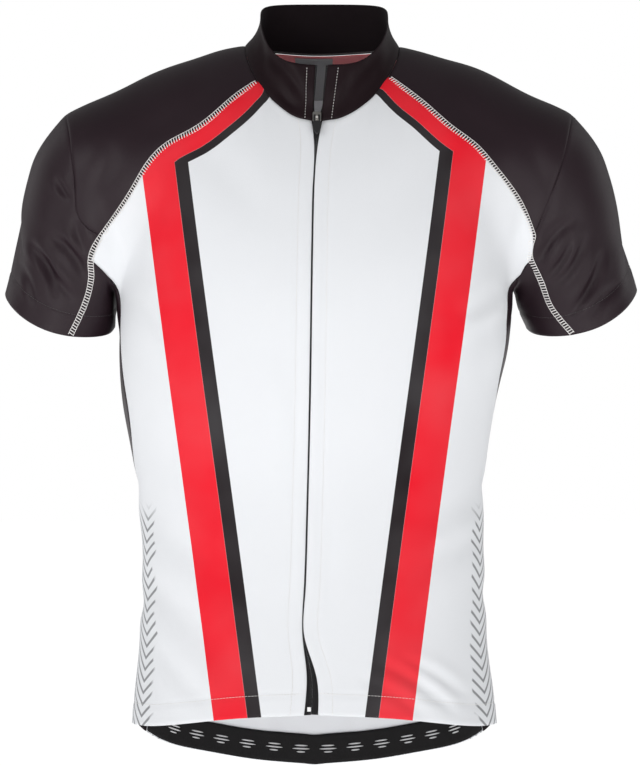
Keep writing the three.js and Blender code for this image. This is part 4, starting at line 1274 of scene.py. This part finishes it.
@dataclass
class Topstitch:
    """A row of short stitches that sink into the cloth at their ends."""

    length: float = 2.3 * MM
    gap: float = 0.7 * MM
    radius: float = 0.2 * MM
    stand: float = 0.12 * MM  # of the thread off the cloth
    sink: float = 0.16 * MM  # of a stitch's ends
    crown: float = 1.6  # rise of a stitch's middle, in sinks
    points: int = 5

    def sew(
        self, name: str, lines: Sequence[Line], material: bpy.types.Material, slot: str,
    ) -> None:
        """Sews rows along lines.

        Args:
            name: of the piece.
            lines: where the rows run.
            material: the thread.
            slot: the record's material slot.
        """
        strands = Strands(name, material, slot)
        for line in lines:
            steps = line.spaced(self.length + self.gap, self.gap)
            start, end = steps.points[:-1], steps.points[1:]
            t = np.linspace(0, self.length / (self.length + self.gap), self.points)[None, :, None]
            normals = np.repeat(steps.normals[:-1, None], self.points, axis=1)
            rise = np.sin(np.linspace(0, math.pi, self.points))[None, :, None]
            paths = start[:, None] + (end - start)[:, None] * t
            paths = paths + normals * (self.stand - self.sink + self.sink * self.crown * rise)
            strands.add(paths, normals, self.radius, 4)
        strands.build()


@dataclass(frozen=True)
class Lamp:
    """One soft square light that looks at the garment's middle.

    Attributes:
        name: of the light.
        place: where it stands.
        size: of its face.
        power: in watts.
    """

    name: str
    place: tuple[float, float, float]
    size: float
    power: float

    HEART = (0.0, 0.0, -0.42)

    def build(self) -> None:
        """Adds the light."""
        data = bpy.data.lights.new(self.name, "AREA")
        data.shape = "SQUARE"
        data.size = self.size
        data.energy = self.power
        lamp = bpy.data.objects.new(self.name, data)
        lamp.location = self.place
        way = Vector(self.HEART) - Vector(self.place)
        lamp.rotation_euler = way.to_track_quat("-Z", "Y").to_euler()
        bpy.context.scene.collection.objects.link(lamp)


class Studio:
    """Camera at the photograph's angle, a pale floor and soft lights."""

    DISTANCE = 3.0
    EYE = (1.455 * MM, -326 * MM)  # x and z of the lens
    SENSOR = 36.0
    FLOOR = (-1.0, 12.0)  # height and half its width
    PAPER = ((0.93, 0.93, 0.935), (0.86, 0.86, 0.87))
    PAPER_SCALE = 3.0
    PAPER_SHADE = 0.02
    GLOW = 0.75
    AMBIENT = 0.28  # the world's strength as a light; to the camera it is 1
    LAMPS = (
        Lamp("key", (-2.2, -2.0, 0.6), 0.8, 17),
        Lamp("fill", (2.3, -2.4, -0.5), 1.6, 12),
        Lamp("front", (0.2, -3.2, 0.5), 0.6, 6.5),
        Lamp("low", (-0.3, -3.0, -0.8), 0.9, 21),
        Lamp("rim_left", (-1.9, 1.0, 0.4), 1.2, 3),
        Lamp("rim_right", (1.9, 1.0, 0.4), 1.2, 3),
    )

    def camera(self) -> None:
        """Sets the camera."""
        data = bpy.data.cameras.new("camera")
        data.sensor_fit = "VERTICAL"
        data.sensor_height = self.SENSOR
        data.lens = self.SENSOR * self.DISTANCE / (PHOTO_HEIGHT * PIXEL)
        camera = bpy.data.objects.new("camera", data)
        camera.location = (self.EYE[0], -self.DISTANCE, self.EYE[1])
        camera.rotation_euler = (math.pi / 2, 0, 0)
        bpy.context.scene.collection.objects.link(camera)
        bpy.context.scene.camera = camera

    def floor(self) -> None:
        """Makes the pale floor."""
        height, half = self.FLOOR
        corners = ((-1, -1), (1, -1), (1, 1), (-1, 1))
        places = [(x * half, y * half, height) for x, y in corners]
        mesh = bpy.data.meshes.new("floor")
        mesh.from_pydata(places, [], [(0, 1, 2, 3)])
        nodes = Nodes.named("floor_paper")
        mesh.materials.append(nodes.finish({
            "Base Color": nodes.mix(nodes.noise(self.PAPER_SCALE) * self.PAPER_SHADE, *self.PAPER),
            "Roughness": 0.9,
            "Emission Color": (1.0, 1.0, 1.0, 1.0),
            "Emission Strength": self.GLOW,
        }))
        floor = bpy.data.objects.new("floor", mesh)
        bpy.context.scene.collection.objects.link(floor)

    def surround(self) -> None:
        """Makes the surround, white behind the garment and dimmer as a light on it."""
        nodes = Nodes(bpy.data.worlds.new("studio"))
        seen = nodes.node("ShaderNodeLightPath", {}, {}, "Is Camera Ray")
        strength = nodes.node("ShaderNodeMapRange", {}, {"Value": seen, "To Min": self.AMBIENT})
        white = {"Color": (1.0, 1.0, 1.0, 1.0), "Strength": strength}
        surface = nodes.node("ShaderNodeBackground", {}, white)
        nodes.node("ShaderNodeOutputWorld", {}, {"Surface": surface})
        bpy.context.scene.world = nodes.owner

    def build(self) -> None:
        """Sets up the whole studio."""
        self.camera()
        self.floor()
        self.surround()
        for lamp in self.LAMPS:
            lamp.build()
        bpy.context.scene.view_settings.view_transform = "Standard"


@dataclass(frozen=True)
class Cut:
    """How one cloth solid is read.

    Attributes:
        node: the solid's name.
        up: the way from its first row to its last.
        across: the way from its first column to its last.
        step: size of a cell of the fine grid.
        thickness: of the cloth.
        at_centre: whether the outer face looks away from the solid's own middle, as a sleeve's
            does, and not from the garment's.
        creased: whether the creases are pressed in.
    """

    node: str
    up: tuple[float, float, float] = (0, 0, 1)
    across: tuple[float, float, float] = (1, 0, 0)
    step: float = 3.2 * MM
    thickness: float = 0.8 * MM
    at_centre: bool = False
    creased: bool = True

    def grid(self, frame: dict[str, Any]) -> Grid:
        """Reads the solid's outer face and makes it fine.

        Args:
            frame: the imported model.

        Returns:
            The fine grid, with its creases.
        """
        low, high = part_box(self.node)
        middle = (low + high) / 2
        heart = middle if self.at_centre else Vector((0, 0, middle.z))
        coarse = FrameFace(frame["nodes"][self.node], heart).grid().turned(self.up, self.across)
        fine = coarse.refined(self.step)
        return creased(fine) if self.creased else fine


@dataclass
class Body:
    """The panels of the garment and their seams, hems and prints."""

    frame: dict[str, Any]
    wardrobe: Wardrobe
    seam_dip: float = 0.55 * MM
    seam_width: float = 2.6 * MM
    hem: float = 20 * MM
    back_hem: float = 30 * MM
    cuff: float = 22 * MM
    hem_rise: float = 0.3 * MM  # of the doubled cloth
    hem_edge: float = 0.5 * MM
    groove: float = 0.6 * MM
    groove_width: float = 1.3 * MM
    placket: float = 13 * MM
    placket_width: float = 1.6 * MM
    pucker: float = 0.25 * MM
    pucker_wave: float = 21 * MM  # length of a radian
    pucker_place: float = 6 * MM
    pucker_width: float = 5 * MM
    zip_gap: float = 0.9 * MM
    hem_gap: float = 1.5 * MM  # more of it at the hem
    hem_gap_height: float = 80 * MM
    neck_share: float = 0.27  # of a front's top edge
    grids: dict[str, Grid] = field(default_factory=dict)

    CHUNKS = 60  # parts that a panel's points are measured in, to save memory
    CUTS = (
        Cut("front_left", across=(-1, 0, 0)),
        Cut("front_right"),
        Cut("back", step=3.8 * MM),
        Cut("yoke_left", (-1, 0, 0), (0, 1, 0)),
        Cut("yoke_right", (1, 0, 0), (0, 1, 0)),
        Cut("sleeve_left", (-0.3, 0, -0.9), (0, 1, 0), step=1.9 * MM, at_centre=True),
        Cut("sleeve_right", (0.3, 0, -0.9), (0, 1, 0), step=1.9 * MM, at_centre=True),
        Cut("gusset_left", across=(0, 1, 0), step=3 * MM),
        Cut("gusset_right", across=(0, 1, 0), step=3 * MM),
    )
    # Edges that are open, with the name of their hem's height; every other edge is a seam
    OPEN = {
        "front": {Edge.FIRST_ROW: "hem"},
        "back": {Edge.FIRST_ROW: "hem"},
        "gusset": {Edge.FIRST_ROW: "hem", Edge.LAST_ROW: "cuff"},
        "sleeve": {Edge.LAST_ROW: "cuff"},
        "yoke": {},
    }

    def edged(self, kind: str, grid: Grid) -> Grid:
        """Presses the seams in and doubles the hems.

        Args:
            kind: the panel's kind.
            grid: its outer face.

        Returns:
            The dressed grid.
        """
        move = np.zeros(grid.points.shape[:2])
        for edge in Edge:
            away = grid.distance(edge)
            if edge in self.OPEN[kind]:
                height = getattr(self, self.OPEN[kind][edge])
                low, high = height - self.hem_edge, height + self.hem_edge
                move += self.hem_rise * (1 - smooth_step(low, high, away))
                move -= self.groove * bell(away, height, self.groove_width)
            elif kind == "front" and edge is Edge.FIRST_COLUMN:
                move -= self.groove * bell(away, self.placket, self.placket_width)
                wave = np.sin(grid.distance(Edge.FIRST_ROW) / self.pucker_wave)
                move += self.pucker * wave * bell(away, self.pucker_place, self.pucker_width)
            else:
                move -= self.seam_dip * bell(away, 0, self.seam_width)
        return grid.moved(move)

    def parted(self, grid: Grid) -> Grid:
        """Pulls a front's edge back from the middle, so that the zip shows.

        Args:
            grid: the front's outer face.

        Returns:
            The moved grid.
        """
        rise = smooth_step(0, self.hem_gap_height, grid.distance(Edge.FIRST_ROW))
        share = 1 - smooth_step(0, self.placket, grid.distance(Edge.FIRST_COLUMN))
        aside = unit(np.gradient(grid.points, axis=1))
        gap = (self.zip_gap + self.hem_gap * (1 - rise)) * share
        return Grid(grid.points + aside * gap[..., None], grid.sign)

    def seam_distance(self, name: str, grid: Grid) -> np.ndarray:
        """Distance from the raglan seam, or on the back from the whole top edge.

        Args:
            name: the panel's node.
            grid: its outer face.

        Returns:
            The distance at each point.
        """
        top = grid.points[-1]
        if name.startswith("front"):
            run = grid.distance(Edge.FIRST_COLUMN)[-1]
            top = top[run > run[-1] * self.neck_share]
        chunks = np.array_split(grid.points.reshape(-1, 1, 3), self.CHUNKS)
        spread = [np.linalg.norm(chunk - top[None], axis=2).min(axis=1) for chunk in chunks]
        return np.concatenate(spread).reshape(grid.points.shape[:2])

    def printed(self, name: str, grid: Grid) -> tuple[np.ndarray, np.ndarray]:
        """Where a printed panel's points lie for its print.

        Args:
            name: the panel's node.
            grid: its outer face.

        Returns:
            The distances from the trimmed seam and from the nearest side seam.
        """
        side = grid.distance(Edge.LAST_COLUMN)
        if name == "back":
            side = np.minimum(side, grid.distance(Edge.FIRST_COLUMN))
        return self.seam_distance(name, grid), side

    def build(self) -> None:
        """Makes every panel."""
        finish = self.wardrobe
        looks = {
            "front": (finish.white, finish.white_inside, "knit_white"),
            "back": (finish.back, finish.back_inside, "knit_white"),
        }
        black = (finish.black, finish.black_inside, "knit_black")
        for cut in self.CUTS:
            kind = cut.node.split("_")[0]
            grid = self.edged(kind, cut.grid(self.frame))
            if kind == "front":
                grid = self.parted(grid)
            self.grids[cut.node] = grid
            places = self.printed(cut.node, grid) if kind in looks else (None, None)
            look = looks.get(kind, black)
            Shell(f"{cut.node}_cloth", grid, cut.thickness, *look, *places).dress(cut.node)

    def sew(self) -> None:
        """Sews the flat seams, hems, cuffs and zip edges."""
        finish = self.wardrobe
        black = (finish.thread_black, "thread_black")
        white = (finish.thread_white, "thread_white")
        stitch = Topstitch()
        for side in ("left", "right"):
            yoke, sleeve = self.grids[f"yoke_{side}"], self.grids[f"sleeve_{side}"]
            gusset, front = self.grids[f"gusset_{side}"], self.grids[f"front_{side}"]
            for name, edge in (("front", Edge.FIRST_COLUMN), ("back", Edge.LAST_COLUMN)):
                seam = yoke.line(edge).joined(sleeve.line(edge))
                Flatlock().sew(f"flatlock_{name}_{side}", seam, finish.thread_white)
            cuff = [sleeve.line(Edge.LAST_ROW, self.cuff), gusset.line(Edge.LAST_ROW, self.cuff)]
            stitch.sew(f"cuff_stitch_{side}", cuff, *black)
            hem = [gusset.line(Edge.FIRST_ROW, self.hem)]
            stitch.sew(f"side_hem_stitch_{side}", hem, *black)
            placket = front.line(Edge.FIRST_COLUMN, self.placket)
            edges = [front.line(Edge.FIRST_ROW, self.hem), placket]
            stitch.sew(f"front_stitch_{side}", edges, *white)
        hem = [self.grids["back"].line(Edge.FIRST_ROW, self.back_hem)]
        stitch.sew("back_hem_stitch", hem, *white)


@dataclass
class Collar:
    """The stand collar."""

    frame: dict[str, Any]
    wardrobe: Wardrobe
    left_stitch: float = 7.2 * MM
    right_stitch: float = 9.6 * MM
    groove: float = 0.35 * MM
    groove_width: float = 1.4 * MM
    foot_dip: float = 0.5 * MM
    foot_width: float = 2.4 * MM
    seam_step: float = 3 * MM
    seam_depth: float = 1.4 * MM
    seam_radius: float = 1.1 * MM
    seam_sides: int = 8

    CUT = Cut("collar", step=1.9 * MM, thickness=1.0 * MM)
    STITCH = Topstitch(length=1.2 * MM, gap=1.5 * MM, radius=0.28 * MM, stand=0.2 * MM)

    def build(self) -> None:
        """Makes the collar with its stitching and the overlock of the neck seam."""
        grid = self.CUT.grid(self.frame)
        move = np.zeros(grid.points.shape[:2])
        stitched = ((Edge.FIRST_COLUMN, self.left_stitch), (Edge.LAST_COLUMN, self.right_stitch))
        for edge, inset in stitched:
            move -= self.groove * bell(grid.distance(edge), inset, self.groove_width)
        move -= self.foot_dip * bell(grid.distance(Edge.FIRST_ROW), 0, self.foot_width)
        grid = grid.moved(move)
        finish = self.wardrobe
        look = (finish.collar, finish.black_inside, "knit_black")
        Shell("collar_cloth", grid, self.CUT.thickness, *look).dress(self.CUT.node)
        lines = [grid.line(edge, inset) for edge, inset in stitched]
        self.STITCH.sew("collar_stitch", lines, finish.thread_white, "thread_white")
        seam = grid.line(Edge.FIRST_ROW).spaced(self.seam_step).moved(-self.seam_depth)
        overlock = Strands("neck_overlock", finish.thread_black, "thread_black")
        overlock.add(seam.points[None], seam.normals[None], self.seam_radius, self.seam_sides)
        overlock.build()


@dataclass
class Zip:
    """Tapes, coil, slider, pull tab and stop."""

    frame: dict[str, Any]
    wardrobe: Wardrobe
    tape_step: float = 3 * MM
    tape_thickness: float = 0.5 * MM
    tooth_pitch: float = 1.5 * MM
    tooth_reach: float = 2.2 * MM
    tooth_radius: float = 0.34 * MM
    tooth_rise: float = 0.22 * MM
    tooth_stand: float = 0.36 * MM
    tooth_start: float = 0.3 * MM  # how far a tooth starts out of the tape's edge
    tooth_points: int = 6
    probe: float = 3 * MM  # distance in from the edge that tells which way the tape lies

    def build(self) -> None:
        """Makes the zip."""
        finish = self.wardrobe
        look = (finish.tape, finish.tape, "tape_black")
        for side, across, phase in (("left", -1, 0.5), ("right", 1, 0.0)):
            node = f"zip_tape_{side}"
            cut = Cut(node, across=(across, 0, 0), step=self.tape_step, creased=False)
            grid = cut.grid(self.frame)
            Shell(f"{node}_cloth", grid, self.tape_thickness, *look).dress(node)
            self.coil(side, grid, phase)
        parts = {"slider": finish.metal, "pull_tab": finish.rubber, "zip_stop": finish.stop}
        for node, material in parts.items():
            data = self.frame["nodes"][node].data
            data.materials.clear()
            data.materials.append(material)

    def coil(self, side: str, grid: Grid, phase: float) -> None:
        """Makes one side's coil along the tape's inner edge.

        Args:
            side: left or right.
            grid: the tape's outer face.
            phase: where the first turn lies, in turns.
        """
        strands = Strands(f"zip_coil_{side}", self.wardrobe.teeth, "teeth_black")
        edge = Edge.FIRST_COLUMN
        line = grid.line(edge).spaced(self.tooth_pitch, self.tooth_pitch * (0.5 + phase))
        inward = unit(grid.line(edge, self.probe).points[0] - line.points[0])
        away = line.across()
        away = away * np.sign((away @ inward)[:, None])
        turn = np.linspace(0, math.pi, self.tooth_points)[None, :, None]
        lift = np.sin(turn) * self.tooth_rise + self.tooth_stand
        reach = (1 - np.cos(turn)) / 2 * self.tooth_reach - self.tooth_start
        normals = np.repeat(line.normals[:, None], self.tooth_points, axis=1)
        paths = line.points[:, None] + away[:, None] * reach + normals * lift
        strands.add(paths, normals, self.tooth_radius)
        strands.build()


@dataclass
class Pockets:
    """The panel of the back pockets, with its hemmed top and two dividing stitch lines."""

    frame: dict[str, Any]
    wardrobe: Wardrobe
    divider_dip: float = 0.5 * MM
    divider_width: float = 2.2 * MM
    gape: float = 1.6 * MM  # how far each mouth stands off
    gape_height: float = 60 * MM
    top: float = 14 * MM
    top_groove: float = 0.4 * MM
    top_width: float = 1.3 * MM
    rim: float = 3 * MM  # from the panel's edges to their stitches

    CUT = Cut("pocket_back", step=3.6 * MM)
    COUNT = 3

    def build(self) -> None:
        """Makes the panel and its stitches."""
        grid = self.CUT.grid(self.frame)
        wide = grid.distance(Edge.FIRST_COLUMN)
        share = wide / wide[:, -1:]
        down = grid.distance(Edge.LAST_ROW)
        dividers = [place / self.COUNT for place in range(1, self.COUNT)]
        move = np.zeros(wide.shape)
        for place in dividers:
            move -= self.divider_dip * bell((share - place) * wide[:, -1:], 0, self.divider_width)
        arch = np.sin(share * self.COUNT % 1 * math.pi)
        move += self.gape * arch * bell(down, 0, self.gape_height)
        move -= self.top_groove * bell(down, self.top, self.top_width)
        grid = grid.moved(move)
        finish = self.wardrobe
        look = (finish.back, finish.back_inside, "knit_white")
        unprinted = np.ones(wide.shape)
        shell = Shell("pocket_back_cloth", grid, self.CUT.thickness, *look, side=unprinted)
        shell.dress(self.CUT.node)
        lines = [grid.line(Edge.LAST_ROW, self.top)]
        columns, normals = wide.shape[1] - 1, grid.normals()
        for place in dividers:
            column = round(columns * place)
            lines.append(Line(grid.points[:, column], normals[:, column]))
        for edge in (Edge.FIRST_COLUMN, Edge.LAST_COLUMN, Edge.FIRST_ROW):
            lines.append(grid.line(edge, self.rim))
        Topstitch().sew("pocket_stitch", lines, finish.thread_white, "thread_white")


@dataclass
class Gripper:
    """The elastic inside the back hem, with three staggered rows of silicone grip marks."""

    frame: dict[str, Any]
    wardrobe: Wardrobe
    middle: float = 15 * MM
    mark_pitch: float = 27 * MM
    mark_length: float = 17 * MM
    mark_radius: float = 0.75 * MM
    mark_sides: int = 8
    depth: float = 1.0 * MM  # of the marks' middles under the outer face

    CUT = Cut("hem_gripper", step=3.4 * MM, thickness=0.9 * MM)
    TAPER = (0.3, 0.8, 1, 1, 1, 0.8, 0.3)
    ROWS = ((-2.6 * MM, 0.75), (0.6 * MM, 1.0), (3.8 * MM, 0.5))  # place and share of the length

    def build(self) -> None:
        """Makes the elastic and its marks."""
        grid = self.CUT.grid(self.frame)
        finish = self.wardrobe
        look = (finish.elastic, finish.elastic, "gripper")
        shell = Shell("hem_gripper_elastic", grid, self.CUT.thickness, *look)
        piece = shell.build()
        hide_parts(self.CUT.node)
        marks = Strands("grip_marks", finish.silicone, "gripper")
        middle = grid.line(Edge.FIRST_ROW, self.middle)
        middle = middle.spaced(self.mark_pitch, self.mark_pitch / 2)
        way = unit(np.gradient(middle.points, axis=0))
        points = len(self.TAPER)
        t = np.linspace(-0.5, 0.5, points)[None, :, None]
        normals = np.repeat(middle.normals[:, None], points, axis=1)
        for aside, length in self.ROWS:
            line = middle.moved(-self.depth, aside)
            paths = line.points[:, None] + way[:, None] * t * self.mark_length * length
            marks.add(paths, normals, np.array(self.TAPER) * self.mark_radius, self.mark_sides)
        shell.declare([marks.build()])


@dataclass
class Label:
    """The blank neck label."""

    frame: dict[str, Any]
    wardrobe: Wardrobe
    ripple: float = 0.25 * MM
    ripple_along: float = 9 * MM  # length of a radian
    ripple_across: float = 7 * MM

    CUT = Cut("neck_label", step=2 * MM, thickness=0.4 * MM, creased=False)

    def build(self) -> None:
        """Makes the label."""
        grid = self.CUT.grid(self.frame)
        across, along = grid.distance(Edge.FIRST_COLUMN), grid.distance(Edge.FIRST_ROW)
        waves = self.ripple * np.sin(along / self.ripple_along)
        grid = grid.moved(waves * np.sin(across / self.ripple_across))
        ribbon = self.wardrobe.ribbon
        shell = Shell("neck_label_ribbon", grid, self.CUT.thickness, ribbon, ribbon, "label_grey")
        shell.dress(self.CUT.node)


def main() -> None:
    """Builds the studio and the garment, piece by piece."""
    logging.basicConfig(level=logging.INFO, format="%(name)s: %(message)s")
    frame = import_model()
    Studio().build()
    wardrobe = Wardrobe.stocked()
    body = Body(frame, wardrobe)
    body.build()
    body.sew()
    for part in (Collar, Zip, Pockets, Gripper, Label):
        part(frame, wardrobe).build()


if __name__ == "__main__":
    main()
